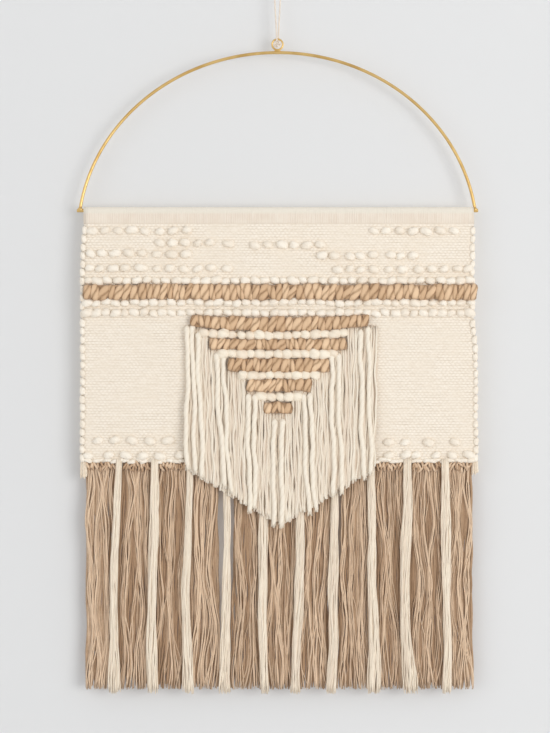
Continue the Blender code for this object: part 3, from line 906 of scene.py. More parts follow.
@dataclass
class PulledLoops(Handwork):
    """Thick cream weft pulled out of the face in loops, and turned round the selvedges."""

    seed: int = 21
    yarn: LoopYarn = LoopYarn(0.0044, 0.0029, 0.0025, 0.14)
    low_yarn: LoopYarn = LoopYarn(0.0027, 0.0038, 0.0022, 0.20)
    # Size and width against a common loop, where loops stand in a full row and where they don't.
    packed: tuple[float, float] = (1.18, 0.88)
    free: tuple[float, float] = (1.16, 0.98)
    # Wefts round the selvedges: first and last drop, radius, width and depth of a turn, and its middle.
    selvedge_drops: tuple[float, float] = (0.0250, 0.3180)
    selvedge_yarn: float = 0.0019
    selvedge_turn: tuple[float, float] = (0.0021, 0.0023)
    selvedge_inset: float = 0.0017
    middle_y: float = -0.00375
    # Low turns of the lower edge: left and right end, count and drop.
    edge_span: tuple[float, float, int] = (-0.2400, 0.2440, 62)
    edge_drop: float = 0.3184
    ROWS: ClassVar[dict[str, tuple[LoopRow, ...]]] = {
        "scattered": (
            LoopRow(0.0262, (-235.6, -219.1, -201.9, -184.8, -168.3, -149.2, -132.7, -114.9,
                             122.6, 137.8, 155.6, 172.1, 188.6, 207.0, 224.2)),
            LoopRow(0.0418, (-149.2, -133.3, -117.5, -101.0, -85.7, -62.2)),
            LoopRow(0.0445, (-28.6, -12.1, 5.7, 21.0, 37.5, 54.6)),
            LoopRow(0.0554, (-236.9, -222.9, -206.4, -188.6, -172.1, -153.0, -134.0, -116.2)),
            LoopRow(0.0579, (56.5, 72.4, 92.1, 104.8, 121.3, 144.1, 156.2, 172.1)),
            LoopRow(0.0738, (-238.1, -225.4, -208.3, -193.7, -173.4, -153.0, -136.5, -118.7, -101.0,
                             -84.5, -64.1)),
            LoopRow(0.0752, (76.8, 92.1, 106.0, 122.6, 141.6, 158.1, 179.7, 196.2, 211.5, 229.2, 241.9)),
        ),
        "rows": (
            LoopRow(0.0899, (), -0.2405, 0.2445, 40),
            LoopRow(0.1171, (), -0.2415, 0.2450, 42),
            LoopRow(0.1306, (), -0.2410, 0.2440, 42),
        ),
        "lower": (
            LoopRow(0.2929, (-228.0, -206.4, -184.8, -161.9, -139.1)),
            LoopRow(0.2954, (141.6, 161.9, 191.8, 225.4)),
            LoopRow(0.3113, (-240.7, -214.0, -192.4, -170.8, -149.2, -122.6,
                             141.6, 163.2, 175.9, 201.3, 221.6, 243.2)),
        ),
    }

    def build(self) -> None:
        """Make the loops of the face, of the selvedges and of the lower edge."""
        for name, rows in self.ROWS.items():
            bundle = Bundle(across=UPWARD, sides=10)
            for row in rows:
                x = np.array(row.places) * MM
                if row.count:
                    x = np.linspace(row.left, row.right, row.count) + self.even(-0.0012, 0.0012, row.count)
                drop = row.drop + self.even(-0.0009, 0.0009, len(x))
                self.loops(bundle, self.yarn, x, drop, *(self.packed if row.count else self.free))
            self.add(f"pulled_loops_{name}", bundle, Yarns.LOOPS)
        self.selvedges()
        self.edging()

    def selvedges(self) -> None:
        """Turn thick wefts round both edges, each flattened against the edge.

        Each follows x = edge + out * cos(a), y = middle - deep * sin(a), for a from the face round the edge
        to the back, and is as tall as its neighbours allow.
        """
        turn = arch(-165, 15)
        out, deep = self.selvedge_turn
        bundle = Bundle(across=UPWARD, sides=12)
        for side in (-1.0, 1.0):
            drop = np.arange(*self.selvedge_drops, WovenCloth.scallop)
            n = len(drop)
            drop = drop + self.even(-0.0007, 0.0007, n)
            edge = WovenCloth().side(drop, side)[:, None] - side * self.selvedge_inset
            grown = self.even(0.88, 1.12, n, 1)
            path = xyz(edge + side * (out * grown * np.cos(turn) + self.even(-0.0003, 0.0004, n, 1)),
                       self.middle_y - deep * np.sin(turn),
                       (ROD_Z - drop)[:, None] + 0.0007 * np.sin(turn + 3 * grown))
            radii = self.selvedge_yarn * (0.45 + 0.55 * np.clip(1.35 * np.cos(turn / 2.2), 0, 1) ** 0.7)
            # A little painted shade all along, and more at the yarn's sides.
            bundle.lay(path, radii, self.even(0.3, 1.0, n), 0.97, Twist.LOOP, (2.55 * grown)[..., None, None],
                       self.even(0, TURN, n), 0.2)
        self.add("selvedge_loops", bundle, Yarns.LOOPS)

    def edging(self) -> None:
        """Make the last weft's low turns along the cloth's lower edge, uneven as hand-packed weft is."""
        bundle = Bundle(across=UPWARD, sides=8)
        x = np.linspace(*self.edge_span)
        x = x + self.even(-0.0022, 0.0022, len(x))
        self.loops(bundle, self.low_yarn, x, self.edge_drop + self.near(0.0008, len(x)))
        self.add("pulled_loops_edge", bundle, Yarns.LOOPS)


@dataclass(frozen=True)
class YarnRow:
    """A row of thick yarn worked over the face."""

    name: str
    drop: float
    left: float
    right: float
    half_height: float
    lumps: int
    sag: float = 0.0


@dataclass
class RovingRows(Handwork):
    """Rows of thick plied yarn: tan roving coiled over the face, and cream loops between the coils."""

    seed: int = 33
    thick: float = 0.0042
    lift: float = 0.0062
    overlap: float = 0.64
    bulge_of_sag: float = 60.0
    core: float = 0.0034
    core_depth: float = 0.0032
    loop_lift: float = 0.0053
    # How much painted shade darkens a cream loop's sides.
    loop_side_shade: float = 0.16
    # How far round a turn of roving goes to each side, in degrees.
    COIL_ARC: ClassVar[float] = 97.0
    TAN: ClassVar[tuple[YarnRow, ...]] = (
        YarnRow("full", 0.1037, -0.2457, 0.2521, 0.0108, 52),
        YarnRow("1", 0.1402, -0.1095, 0.1149, 0.0090, 23, 0.0046),
        YarnRow("2", 0.1692, -0.0855, 0.0868, 0.0079, 18, 0.0010),
        YarnRow("3", 0.1962, -0.0625, 0.0650, 0.0098, 14, 0.0004),
        YarnRow("4", 0.2220, -0.0380, 0.0425, 0.0088, 9),
        YarnRow("5", 0.2506, -0.0168, 0.0180, 0.0081, 4),
    )
    CREAM: ClassVar[tuple[YarnRow, ...]] = (
        YarnRow("1", 0.1560, -0.0990, 0.0890, 0.0056, 16, 0.0032),
        YarnRow("2", 0.1823, -0.0750, 0.0765, 0.0058, 13, 0.0008),
        YarnRow("3", 0.2097, -0.0490, 0.0520, 0.0056, 9, 0.0003),
        YarnRow("4", 0.2368, -0.0260, 0.0320, 0.0061, 5),
    )

    def coils(self, row: YarnRow) -> Bundle:
        """Turns of roving, each a flattened arch over the face, leaning and pressed against its neighbours.

        Each follows z = middle + rise * sin(a)^0.9 and y = base - lift * cos(a)^0.5. Painted shade darkens
        each turn's sides and a little the row's middle. A core fills the row, darkened as painted shade of the
        gaps between the turns.

        Args:
            row: The row.

        Returns:
            The bundle with the row's turns.
        """
        n, span = row.lumps, row.right - row.left
        wide = self.even(0.72, 1.28, n)
        cuts = np.concatenate([[0.0], np.cumsum(wide)]) / wide.sum()
        middle = (cuts[1:] + cuts[:-1]) / 2
        half = (self.overlap * span * wide / wide.sum())[:, None]
        thick = self.thick * self.even(0.9, 1.1, n, 1)
        turn = arch(self.COIL_ARC, 17)
        up = np.sign(turn) * np.abs(np.sin(turn)) ** 0.9
        out = np.sign(np.cos(turn)) * np.abs(np.cos(turn)) ** 0.5
        lean = self.near(0.0022, n, 1).clip(-0.0036, 0.0036)
        lean[[0, -1]] *= 0.25
        tall = row.half_height * self.even(0.86, 1.05, n, 1)
        bow = 1 - (2 * middle - 1) ** 2
        z = ROD_Z - row.drop - (row.sag * bow)[:, None] + self.even(-0.0010, 0.0010, n, 1)
        tall = tall * (1 + self.bulge_of_sag * row.sag * (bow[:, None] - 0.5))
        lift = self.lift * self.even(0.85, 1.1, n, 1)
        path = xyz((row.left + span * middle)[:, None] + lean * up + 0.0004 * np.sin(2 * turn),
                   CLOTH_FACE_Y - 0.0005 - lift * out, z + (tall - 0.74 * thick) * up)
        crest = np.cos(turn * 0.8)
        size = thick * (0.70 + 0.30 * np.clip(1.6 * np.cos(turn), 0, 1))
        # Painted shade: a little darker along the row's middle, and darker at each turn's sides.
        shade = 1.0 - 0.06 * np.clip(crest * 1.6 - 0.35, 0, 1)
        valley = 0.80 * np.clip(np.cos(turn), 0, 1) ** 0.5
        bundle = Bundle(across=SIDEWAYS, sides=24)
        bundle.lay(path, size, self.even(0.0, 1.0, n), shade, Twist.ROVING,
                   (half * (0.88 + 0.12 * crest) / size)[..., None, None], self.even(0, TURN, n), valley)
        bundle.across = UPWARD
        t = np.linspace(0, 1, 60)
        path = xyz(row.left + 0.002 + (span - 0.004) * t, CLOTH_FACE_Y - self.core_depth,
                   ROD_Z - row.drop - row.sag * (1 - (2 * t - 1) ** 2))
        # The core's low tone and shade are painted shade in the gaps between the turns.
        bundle.lay(path[None], self.core, 0.0, 0.50, flat=0.84 * row.half_height / self.core)
        return bundle

    def build(self) -> None:
        """Make every row."""
        for row in self.TAN:
            self.add(f"roving_row_{row.name}", self.coils(row), Yarns.ROVING, f"tan_row_{row.name}")
        for row in self.CREAM:
            bundle = Bundle(across=UPWARD, sides=12)
            pitch = (row.right - row.left) / row.lumps
            x = row.left + pitch * (np.arange(row.lumps) + 0.5) + self.even(-0.0006, 0.0006, row.lumps)
            middle = (row.left + row.right) / 2
            share = (x - middle) / (row.right - middle)
            yarn = LoopYarn(1.14 * row.half_height, 0.29 * pitch, self.loop_lift, self.loop_side_shade)
            self.loops(bundle, yarn, x, row.drop + row.sag * (1 - share**2))
            self.add(f"loop_row_{row.name}", bundle, Yarns.ROW_LOOPS_SHADED, f"cream_row_{row.name}")


# --- Fringe ---


@dataclass(frozen=True)
class HangingKind:
    """How a kind of cord hangs: points along it, how they gather at its top, length and height of its two
    waves, how long its blunted end is and how thick it stays there, its ply, and how much painted shade
    darkens its sides."""

    points: int
    gather: float
    waves: Table
    end: float
    blunt: float
    twist: Twist
    valley: float


THICK_CORD = HangingKind(64, 1.15, ((0.12, 0.0013), (0.05, 0.0005)), 0.0045, 0.62, Twist.CORD, 0.35)
THIN_CORD = HangingKind(34, 1.0, ((0.12, 0.0012), (0.045, 0.0006)), 0.0022, 0.85, Twist.STRAND, 0.3)


@dataclass
class PointFringe(Handwork):
    """Cream cords and thinner strands that hang from the stepped ends of the rows, cut to a point."""

    seed: int = 45
    tip_x: float = 0.0040
    tip_drop: float = 0.3990
    slope: float = 0.60
    front_y: float = -0.0102
    cord: float = 0.0032
    # How far the cords come forward over the tassels, from which drop, and over what length.
    forward: tuple[float, float, float] = (0.0043, 0.215, 0.075)
    settle: float = 0.03
    fibres: int = 20
    fibre: float = 0.00072
    # Name, left end, right end and drop of each group.
    GROUPS: ClassVar[tuple[tuple[str, float, float, float], ...]] = (
        ("left_1", -0.1162, -0.0887, 0.1494), ("left_2", -0.0880, -0.0645, 0.1764),
        ("left_3", -0.0638, -0.0400, 0.2036), ("left_4", -0.0393, -0.0175, 0.2291),
        ("middle", -0.0168, 0.0180, 0.2587), ("right_4", 0.0190, 0.0425, 0.2291),
        ("right_3", 0.0433, 0.0655, 0.2036), ("right_2", 0.0663, 0.0870, 0.1764),
        ("right_1", 0.0884, 0.1276, 0.1494),
    )
    # Thick cords: x and drop where one starts, x and drop of its tip, in millimetres.
    CORDS: ClassVar[np.ndarray] = np.array((
        (-114.3, 146.0, -114.8, 325.5), (-108.0, 145.0, -103.5, 331.0), (-100.5, 154.0, -94.5, 337.3),
        (-77.0, 180.0, -67.2, 349.0), (-68.5, 181.0, -59.6, 356.5), (-36.8, 232.0, -35.4, 381.0),
        (-28.7, 233.0, -29.0, 375.4), (-3.6, 264.0, -5.9, 398.3), (6.4, 264.0, 4.4, 399.5),
        (33.0, 232.0, 40.0, 383.0), (41.2, 231.0, 48.3, 378.0), (68.5, 180.0, 71.8, 360.2),
        (77.5, 181.0, 81.3, 357.6), (105.4, 150.5, 108.6, 338.6), (115.0, 147.0, 118.7, 332.2),
    )) * MM
    # Layers of thin strands: spacing, y, radius, tone and shade, the shade being painted shade.
    LAYERS: ClassVar[Table] = (
        (0.0030, -0.0090, 0.0016, 0.60, 0.98), (0.0027, -0.0076, 0.0017, 0.4, 0.93),
        (0.0025, -0.0060, 0.0020, 0.35, 0.96),
    )

    def hang(self, bundle: Bundle, kind: HangingKind, tops: np.ndarray, tips: np.ndarray, y: np.ndarray,
             radius: np.ndarray, tone: np.ndarray, shade: np.ndarray) -> None:
        """Hang cords from (x, z) tops to (x, z) tips, easing from one x to the other and wandering.

        Their y goes from the row they leave to the layer they hang in, and forward over the tassels below.

        Args:
            bundle: The bundle that takes them.
            kind: Their kind.
            tops: x and z of the tops.
            tips: x and z of the tips.
            y: Depth of each cord's layer.
            radius: Radius of each.
            tone: Tone of each.
            shade: Painted shade of each.
        """
        n = len(tops)
        t = np.linspace(0, 1, kind.points) ** kind.gather
        long = (tops[:, 1] - tips[:, 1])[:, None]
        fallen = long * t
        left_over = long * (1 - t)
        z = tops[:, 1:] - fallen
        grow = np.minimum(1.0, fallen / self.settle)
        x = tops[:, :1] + (tips[:, :1] - tops[:, :1]) * t**1.3 + self.drift(n, fallen, *kind.waves) * grow
        far, drop, run = self.forward
        forward = far * ramp(ROD_Z - drop - z, run)
        start = 0.0022 * np.exp(-fallen / 0.006)
        depth = y[:, None] + start - forward + self.drift(n, fallen, (0.09, 0.0004)) * grow
        slubs = 1 + self.drift(n, fallen, (0.035, 0.05), (0.017, 0.03))
        radii = radius[:, None] * (kind.blunt + (1 - kind.blunt) * ramp(left_over, kind.end) ** 0.5) * slubs
        if kind is THICK_CORD:
            swell = 1 + 0.30 * np.exp(-((fallen - 0.0045) / 0.005) ** 2)
            radii = radii * (swell * np.clip(fallen / 0.0035, 0.06, 1) ** 0.5)
            lit = shade[:, None]
        else:
            # Painted shade where a strand leaves its row, and painted light over the last millimetres to the
            # cut.
            lit = shade[:, None] * (0.7 + 0.3 * ramp(fallen, 0.012)) + 0.60 * (1 - ramp(left_over, 0.007))
        path = xyz(x, depth, z)
        bundle.lay(path, radii, tone, lit, kind.twist, 0.92, self.even(0, math.pi, n), kind.valley)
        if kind is THICK_CORD:
            self.fray(bundle, path[:, -1], radius)

    def fray(self, bundle: Bundle, ends: np.ndarray, radius: np.ndarray) -> None:
        """Add loose fibres at the cut ends: short thin strands, each leaning its own way.

        Args:
            bundle: The bundle that takes them.
            ends: The cords' ends.
            radius: Their radii.
        """
        n = len(ends) * self.fibres
        t = np.linspace(0, 1, 5)
        way = self.even(0, TURN, n)
        lean = np.repeat(radius, self.fibres) * self.even(0.25, 0.80, n)
        side = xyz(np.cos(way), 0.7 * np.sin(way), 0.0) * lean[:, None]
        long = self.even(0.0065, 0.0105, n)
        path = np.repeat(ends, self.fibres, 0)[:, None] + side[:, None] * (0.85 + 0.45 * t**2)[:, None]
        path[..., 2] += 0.0060 - long[:, None] * t
        bundle.sides = 5
        size = self.fibre * (1 - 0.45 * t**2)
        # Painted shade: a little darker towards each fibre's tip and at its sides.
        bundle.lay(path, size, self.even(0.5, 1.1, n), 1.02 - 0.06 * t, valley=0.15)

    def build(self) -> None:
        """Make each group: its thick cords in front, thinner strands beside them and more behind."""
        for name, left, right, drop in self.GROUPS:
            bundle = Bundle(sides=10)
            thick = self.CORDS[(self.CORDS[:, 0] >= left - 0.0004) & (self.CORDS[:, 0] < right + 0.0004)]
            n = len(thick)
            if n:
                tops, tips = (np.column_stack([thick[:, i], ROD_Z - thick[:, i + 1]]) for i in (0, 2))
                self.hang(bundle, THICK_CORD, tops, tips, np.full(n, self.front_y),
                          self.cord * self.even(0.92, 1.08, n), self.even(0.85, 1.0, n), np.ones(n))
            bundle.sides = 6
            for layer, (pitch, y, radius, tone, shade) in enumerate(self.LAYERS):
                x = np.arange(left + 0.0014, right - 0.0006, pitch)
                x = x + self.even(-0.0006, 0.0006, len(x))
                if n and not layer:
                    x = x[np.abs(x[:, None] - thick[:, 0]).min(axis=1) > 0.0030]
                k = len(x)
                pull = x + 0.05 * (self.tip_x - x) * self.even(0.2, 1.0, k)
                cut = ROD_Z - self.tip_drop + self.slope * np.abs(pull - self.tip_x)
                tips = np.column_stack([pull, cut + self.even(-0.0030, 0.0035, k)])
                tops = np.column_stack([x, ROD_Z - drop + self.even(0.001, 0.004, k)])
                self.hang(bundle, THIN_CORD, tops, tips, y + self.even(-0.0006, 0.0006, k),
                          radius * self.even(0.8, 1.15, k), tone + self.even(-0.3, 0.4, k),
                          shade + self.even(-0.12, 0.06, k))
            self.add(f"point_cords_{name}", bundle, Yarns.CORDS, f"point_fringe_{name}")


@dataclass
class LowerFringe(Handwork):
    """Fine tan fringe in groups under the cloth, with cream tassels between and small tufts at the corners.

    All x and drops in its tables are in millimetres.
    """

    seed: int = 57
    tassel_drop: float = 0.6140
    tan_drop: float = 0.6078
    tassel_strands: int = 44
    tassel_rise: float = 0.004
    tassel_yarn: float = 0.00100
    tassel_y: float = -0.0066
    tassel_deep: float = 0.0024
    tassel_ragged: float = 0.0075
    tan_ragged: float = 0.0036
    # How far a loose strand and another fly out at the cut, as shares of the group's width.
    fly: tuple[float, float] = (0.24, 0.035)
    corner_strands: int = 9
    lock: float = 0.0082
    loose: float = 0.22
    gap_half: float = 0.015
    open_to: float = 0.215
    bend_pitch: float = 0.0021
    golden: float = math.radians(137.5)
    # Layers of tan strands: spacing, y, radius, tone, shade, stray, and how closely they cling to locks;
    # the shade is painted shade, deepest in the layer behind.
    LAYERS: ClassVar[Table] = (
        (0.0017, 0.0012, 0.0020, 0.10, 0.68, 0.0004, 0.0), (0.0018, -0.0006, 0.0012, 0.32, 0.82, 0.0010, 0.6),
        (0.0015, -0.0022, 0.00088, 0.85, 1.02, 0.0010, 1.0),
    )
    # Drops at which the tassels are measured, x of each tassel's middle there, and its width there.
    HEIGHTS: ClassVar[tuple[float, ...]] = (319.5, 400.0, 480.0, 560.0, 614.0)
    TASSELS: ClassVar[Table] = (
        (-201.3, -204.8, -208.2, -207.0, -206.5), (-156.1, -156.2, -159.2, -159.6, -158.4),
        (-111.1, -112.6, -116.8, -114.8, -111.4), (-64.5, -63.6, -64.8, -66.2, -67.9),
        (-18.4, -17.8, -19.0, -18.8, -15.2), (30.5, 29.0, 27.9, 24.3, 21.8), (73.7, 72.2, 70.5, 71.4, 67.6),
        (118.7, 120.1, 120.0, 123.3, 123.3), (165.2, 164.6, 160.8, 164.0, 170.4),
        (212.7, 214.0, 214.5, 216.3, 215.3),
    )
    WIDTHS: ClassVar[Table] = (
        (9.0, 10.5, 10.5, 12.0, 17.0), (10.5, 13.5, 11.5, 14.5, 15.0), (8.5, 9.5, 11.0, 13.0, 16.5),
        (9.0, 9.0, 11.0, 14.0, 16.5), (10.0, 12.0, 13.5, 10.5, 12.0), (10.0, 12.0, 13.5, 12.0, 13.5),
        (8.0, 10.5, 14.0, 12.0, 15.0), (9.5, 10.5, 12.5, 16.0, 19.0), (10.5, 14.5, 13.0, 14.0, 18.5),
        (10.5, 14.0, 11.5, 10.0, 14.0),
    )
    # x of a tan group's left and right edge at its top, and at its bottom, and how light it is.
    GROUPS: ClassVar[Table] = (
        (-241.9, -207.0, -243.0, -208.5, 0.40), (-195.5, -161.8, -204.5, -161.2, 0.0),
        (-150.3, -116.8, -157.2, -115.0, -0.20), (-105.4, -78.0, -111.0, -75.5, 0.0),
        (-51.4, -24.2, -60.0, -17.2, 0.0), (-12.6, 24.7, -13.2, 20.0, -0.10),
        (36.3, 68.0, 24.2, 68.3, -0.03), (84.5, 113.0, 75.5, 120.8, 0.06),
        (124.5, 159.5, 125.0, 168.6, -0.05), (171.0, 206.8, 172.8, 213.7, -0.08),
        (218.5, 246.4, 218.0, 248.0, 0.15),
    )
    # x where the wall shows beside a tassel, in metres.
    OPEN: ClassVar[np.ndarray] = np.array((-0.0645, 0.0900))
    # Side, x and drop of the tips of each corner tuft, in metres.
    CORNERS: ClassVar[tuple[tuple[str, float, float], ...]] = (
        ("left", -0.2462, 0.3424), ("right", 0.2506, 0.3373),
    )

    def tan_group(self, edges: tuple[float, ...]) -> Bundle:
        """Layers of strands between two edges, drawn together into locks that open again towards the cut.

        A strand's place across the group is its lock's seat plus its own distance from it times
        1 - drawn + opened, where drawn grows from the top and opened from the point where the lock opens.

        Args:
            edges: The group's edges at the top and the bottom, in millimetres, and how light it is.

        Returns:
            The bundle with its strands and the bends that they hang from.
        """
        left, right, low_left, low_right = (edge * MM for edge in edges[:4])
        bundle = Bundle(sides=5)
        long = self.tan_drop - CLOTH_BOTTOM_DROP
        t = np.linspace(0, 1, 30)
        fallen = long * t
        locks = max(3, round((right - left) / self.lock))
        seats = (np.arange(locks) + 0.5) / locks + self.near(0.25 / locks, locks)
        paths = self.drift(locks, fallen, (0.26, 0.0024), (0.12, 0.0012)) * ramp(t, 0.12)
        lighter = edges[4] + self.near(0.14, locks)
        drawn = self.even(0.30, 0.70, locks, 1) * ramp(t, 0.3)
        opens = self.even(0.60, 0.88, locks, 1)
        opened = self.even(0.4, 1.3, locks, 1) * ramp(t, 1 - opens, opens) ** 1.4
        low = left + (low_left - left) * t
        high = right + (low_right - right) * t
        grow = ramp(t, 0.08)
        for pitch, y, radius, bright, light, stray, cling in self.LAYERS:
            n = int((right - left) / pitch)
            share = (np.arange(n) + 0.5) / n + self.near(0.006 + 0.026 * cling, n)
            share = np.clip(share, 0.01, 0.99)
            own = np.abs(share[:, None] - seats).argmin(axis=1)
            off = share - seats[own]
            place = seats[own, None] + off[:, None] * (1 + cling * (opened - drawn)[own])
            loose = self.chance.random(n) < self.loose
            away = np.where(loose, *self.fly) * cling**0.5 * self.near(1, n)
            place = place + away[:, None] * ramp(t, 0.50, 0.50) ** 1.4
            wander = self.drift(n, fallen, (0.15, stray), (0.06, 0.0005))
            wander = wander * np.where(loose, 1.8, 1.0)[:, None] + cling * paths[own]
            x = low + (high - low) * place + wander * grow
            inner = self.even(-0.0012, 0.0010, 2, n, 1)
            x = np.clip(x, low + inner[0], high - inner[1]) + 0.35 * wander * grow
            if not cling:
                filled = np.abs(x[:, :1] - self.OPEN).min(1, keepdims=True) > self.gap_half
                x = x + (0.001 + 0.003 * filled) * (2 * place - 1) * grow * (np.abs(x[:, :1]) < self.open_to)
            ends = long - np.abs(self.near(self.tan_ragged, n))
            z = CLOTH_BOTTOM_Z - 0.0015 - ends[:, None] * t
            side = np.clip(np.abs(off) * 2 * locks, 0, 1) * cling
            depth = y + 0.0008 * side[:, None] ** 2 + self.drift(n, fallen, (0.13, 0.0005)) * grow
            size = radius * (1 + (0.2 + 0.8 * cling) * self.even(-0.38, 0.22, n))
            size = (size * np.where(loose, 0.8, 1.0))[:, None] * (1 - 0.5 * ramp(t, 0.04, 0.96))
            # Painted shade: deepest in the layer behind, darker at a lock's sides and just under the cloth.
            lit = (light + self.even(-0.16, 0.08, n)) * (1 - 0.22 * side**2)
            lit = lit[:, None] * (0.72 + 0.28 * ramp(t, 0.07))
            tone = bright + self.even(-0.3, 0.35, n) + lighter[own]
            bundle.lay(xyz(x, depth, z), size, tone, lit, Twist.STRAND, 0.9, self.even(0, math.pi, n), 0.25)
        self.bends(bundle, left, right)
        return bundle

    def bends(self, bundle: Bundle, left: float, right: float) -> None:
        """Add the strands' bends round the cloth's last weft: small uneven arches in YZ, in two rows.

        Args:
            bundle: The bundle that takes them.
            left: Left edge of the group.
            right: Right edge of the group.
        """
        n = int((right - left) / self.bend_pitch)
        x = left + (right - left) * (np.arange(n) + 0.5) / n + self.even(-0.0008, 0.0008, n)
        turn = arch(self.ARC, 9)
        rise = 0.0032 * self.even(0.7, 1.3, n, 1)
        second = (np.arange(n) % 2)[:, None]
        lean = self.near(0.0014, n, 1)
        path = xyz(x[:, None] + lean * np.sin(turn),
                   -0.0026 + 0.0008 * second - 0.0024 * np.cos(turn) * self.even(0.7, 1.1, n, 1),
                   CLOTH_BOTTOM_Z - 0.0032 - 0.0040 * second + rise * np.sin(turn) + self.near(0.0012, n, 1))
        bundle.across, bundle.sides = SIDEWAYS, 7
        # Painted shade: darker towards the bends' feet in the cloth and at their sides.
        bundle.lay(path, 0.0016, self.even(0.0, 0.9, n), 0.66 + 0.34 * np.cos(turn * 0.8), Twist.STRAND, 1.0,
                   self.even(0, math.pi, n), 0.3)

    def tassel(self, *measured: tuple[float, ...]) -> Bundle:
        """Strands packed in a flat round section that widens to the cut and turns slowly, so that they cross.

        Strand k sits at sqrt(k / n) of the section's half width, 137.5 degrees on from the one before.

        Args:
            *measured: x of its middle and its width, each at the measured drops, in millimetres.

        Returns:
            The bundle.
        """
        n = self.tassel_strands
        t = np.linspace(0, 1, 36)
        rise = self.tassel_rise
        long = self.tassel_drop - CLOTH_BOTTOM_DROP + rise
        fallen = long * t
        drop = CLOTH_BOTTOM_DROP - rise + fallen
        kernel = np.hanning(9) / np.hanning(9).sum()
        smoothed = (np.interp(drop, np.array(self.HEIGHTS) * MM, np.array(row) * MM) for row in measured)
        middle, width = (np.convolve(np.pad(row, 4, mode="edge"), kernel, mode="valid") for row in smoothed)
        rank = np.sqrt((np.arange(n) + 0.5) / n)[:, None]
        angle = (np.arange(n) * self.golden)[:, None] + t * self.even(0.6, 1.5)
        angle = angle + self.drift(n, fallen, (0.16, 0.40))
        bulge = 1 + self.drift(1, fallen, (0.13, 0.04))
        fan = ramp(t, 0.30, 0.70) ** 1.5
        wide = (width / 2 - 0.0010) * bulge + 0.0012 * fan * self.even(-0.6, 1.35, n, 1)
        deep = self.tassel_deep + 0.0004 * t
        stray = self.drift(n, fallen, (0.09, 0.0006)) * ramp(t, 0.1)
        ends = long - self.even(0.0, self.tassel_ragged, n, 1)
        path = xyz(middle + wide * rank * np.cos(angle) + stray, self.tassel_y - deep * rank * np.sin(angle),
                   CLOTH_BOTTOM_Z + rise - ends * t)
        # Painted shade: strands deeper in the tassel's back are darker.
        shade = 0.62 + 0.38 * np.clip(0.5 + rank * np.sin(angle), 0, 1)
        size = self.tassel_yarn * self.even(0.8, 1.15, n, 1) * (1 - 0.4 * ramp(t, 0.03, 0.97))
        bundle = Bundle(sides=5)
        bundle.lay(path, size, self.even(0.3, 1.15, n), shade, Twist.STRAND, 0.95,
                   self.even(0, math.pi, n), 0.2)
        return bundle

    def corner(self, middle: float, drop: float) -> Bundle:
        """The short ends of the selvedge wefts at a lower corner of the cloth.

        Args:
            middle: x of the tuft.
            drop: Drop of its tips.

        Returns:
            The bundle.
        """
        n = self.corner_strands
        t = np.linspace(0, 1, 12)
        start = middle + np.linspace(-0.0030, 0.0030, n)[:, None]
        x = start + 0.0014 * self.even(-1, 1, n, 1) * t + self.drift(n, 0.02 * t, (0.03, 0.0003))
        ends = drop - CLOTH_BOTTOM_DROP + self.even(-0.004, 0.0, n, 1)
        path = xyz(x, -0.0030 + 0.0014 * self.even(-1, 1, n, 1), CLOTH_BOTTOM_Z + 0.001 - ends * t)
        bundle = Bundle(sides=7)
        size = 0.0013 * (1 - 0.5 * ramp(t, 0.2, 0.8))
        # A little painted shade along the strands and more at their sides.
        bundle.lay(path, size, self.even(0.3, 1, n), 0.95, Twist.STRAND, valley=0.25)
        return bundle

    def build(self) -> None:
        """Make all groups, tassels and corner tufts."""
        for i, edges in enumerate(self.GROUPS, 1):
            self.add(f"tan_strands_{i:02d}", self.tan_group(edges), Yarns.TAN, f"tan_fringe_{i:02d}")
        for i, measured in enumerate(zip(self.TASSELS, self.WIDTHS, strict=True), 1):
            self.add(f"tassel_{i:02d}", self.tassel(*measured), Yarns.TASSELS, f"cream_tassel_{i:02d}")
        for side, middle, drop in self.CORNERS:
            self.add(f"corner_ends_{side}", self.corner(middle, drop), Yarns.TASSELS, f"corner_tuft_{side}")


# --- Room, light and camera ---


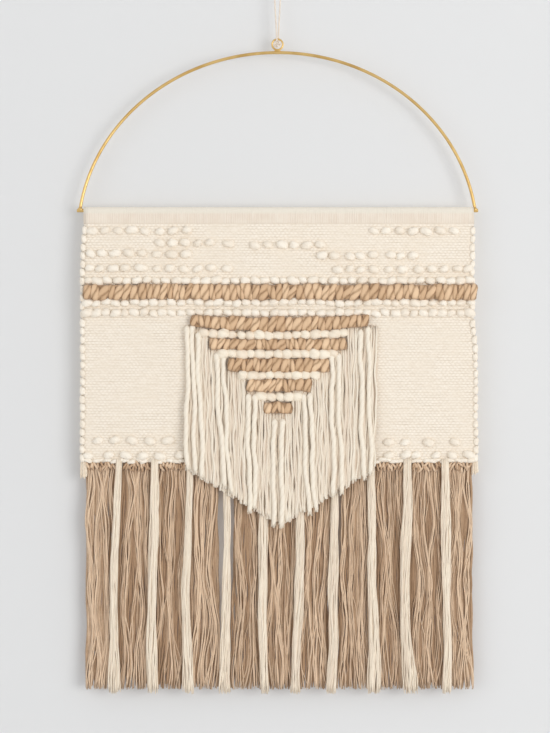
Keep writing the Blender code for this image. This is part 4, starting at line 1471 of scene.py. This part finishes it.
@dataclass
class Studio:
    """A pale wall and floor, soft light from the right, weak fill from the left, and a straight camera."""

    frame_height: float = 0.9309
    middle: Point = (-0.0032, 0.0, -0.4842)
    distance: float = 2.6
    sensor: float = 32.0
    wall_y: float = 0.0190
    floor_z: float = -1.60
    paint: Rgb = srgb(223, 223, 223)
    wall_half: float = 3.0
    wall_top: float = 2.5
    floor_half: float = 4.0
    sky: Rgb = (0.97, 0.985, 1.0)
    sky_strength: float = 0.758
    # Name, place, width, power in watts and colour of each light.
    LIGHTS: ClassVar[tuple[tuple[str, Point, float, float, Rgb], ...]] = (
        ("key_light", (3.1, -4.0, -0.5), 2.6, 98.0, (1.0, 0.985, 0.965)),
        ("fill_light", (-3.2, -3.4, 0.0), 3.0, 25.0, (1.0, 1.0, 1.0)),
        ("back_light", (0.8, 2.2, 0.4), 1.6, 30.0, (1.0, 1.0, 1.0)),
    )

    def plane(self, name: str, corners: tuple[Point, ...], one_sided: bool) -> None:
        """Add a flat stage piece.

        A one-sided plane shows only its face: from behind, and to light that passes, it isn't there.

        Args:
            name: Its name.
            corners: Its four corners.
            one_sided: Whether it has only a face.
        """
        mesh = bpy.data.meshes.new(name)
        mesh.from_pydata(corners, [], [(0, 1, 2, 3)])
        board = bpy.data.objects.new(name, mesh)
        bpy.context.scene.collection.objects.link(board)
        g = Graph(name)
        colour = g.mix(g.patches(1.5), self.paint, tuple(0.97 * part for part in self.paint))
        g.finish(colour, Roughness=1.0, Specular_IOR_Level=0.0)
        if one_sided:
            behind = g.node("ShaderNodeNewGeometry", {}, {}, "Backfacing")
            passing = g.node("ShaderNodeLightPath", {}, {}, "Is Shadow Ray")
            clear = g.node("ShaderNodeBsdfTransparent")
            choice = {0: behind.maths("MAXIMUM", behind, passing), 1: Wire(g, g.shader.outputs[0]), 2: clear}
            mixed = g.node("ShaderNodeMixShader", {}, choice)
            g.tree.links.new(mixed.socket, g.tree.nodes["Material Output"].inputs["Surface"])
        mesh.materials.append(g.material)

    def lamp(self, name: str, place: Point, size: float, power: float, colour: Rgb) -> None:
        """Add a soft square light that faces the hanging's middle.

        Args:
            name: Its name.
            place: Where it stands.
            size: Its width.
            power: Its power in watts.
            colour: Its colour.
        """
        light = bpy.data.lights.new(name, "AREA")
        light.size, light.energy, light.color = size, power, colour
        lamp = bpy.data.objects.new(name, light)
        bpy.context.scene.collection.objects.link(lamp)
        lamp.location = place
        x, y, z = np.array(self.middle) - np.array(place)
        lamp.rotation_euler = (math.atan2(math.hypot(x, y), -z), 0.0, math.atan2(-x, y))

    def build(self) -> None:
        """Set up the room, the lights and the camera."""
        scene = bpy.context.scene
        scene.view_settings.view_transform = "Standard"
        y, floor, top, half = self.wall_y, self.floor_z, self.wall_top, self.wall_half
        corners = ((-half, y, floor), (half, y, floor), (half, y, top), (-half, y, top))
        self.plane("studio_wall", corners, True)
        half = self.floor_half
        corners = ((-half, -half, floor), (half, -half, floor), (half, half, floor), (-half, half, floor))
        self.plane("studio_floor", corners, False)
        scene.world = bpy.data.worlds.new("soft_light")
        scene.world.use_nodes = True
        sky = scene.world.node_tree.nodes["Background"].inputs
        sky["Color"].default_value = (*self.sky, 1.0)
        sky["Strength"].default_value = self.sky_strength
        for light in self.LIGHTS:
            self.lamp(*light)
        lens = bpy.data.cameras.new("camera")
        lens.sensor_fit = "VERTICAL"
        lens.sensor_height = self.sensor
        lens.lens = self.sensor * self.distance / self.frame_height
        camera = bpy.data.objects.new("camera", lens)
        scene.collection.objects.link(camera)
        camera.location = (self.middle[0], CLOTH_FACE_Y - self.distance, self.middle[2])
        camera.rotation_euler = (math.pi / 2, 0.0, 0.0)
        scene.camera = camera


def main() -> None:
    """Build every piece round the frame."""
    logging.basicConfig(level=logging.INFO, format="%(name)s %(message)s")
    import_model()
    Studio().build()
    hanger = WireHanger()
    hanger.build()
    HangingString().build(hanger.ring_z)
    cloth = WovenCloth()
    sheet = cloth.build()
    handwork = (PulledLoops(), RovingRows(), PointFringe(), LowerFringe())
    for part in handwork:
        part.build()
    bpy.context.view_layer.update()


if __name__ == "__main__":
    main()
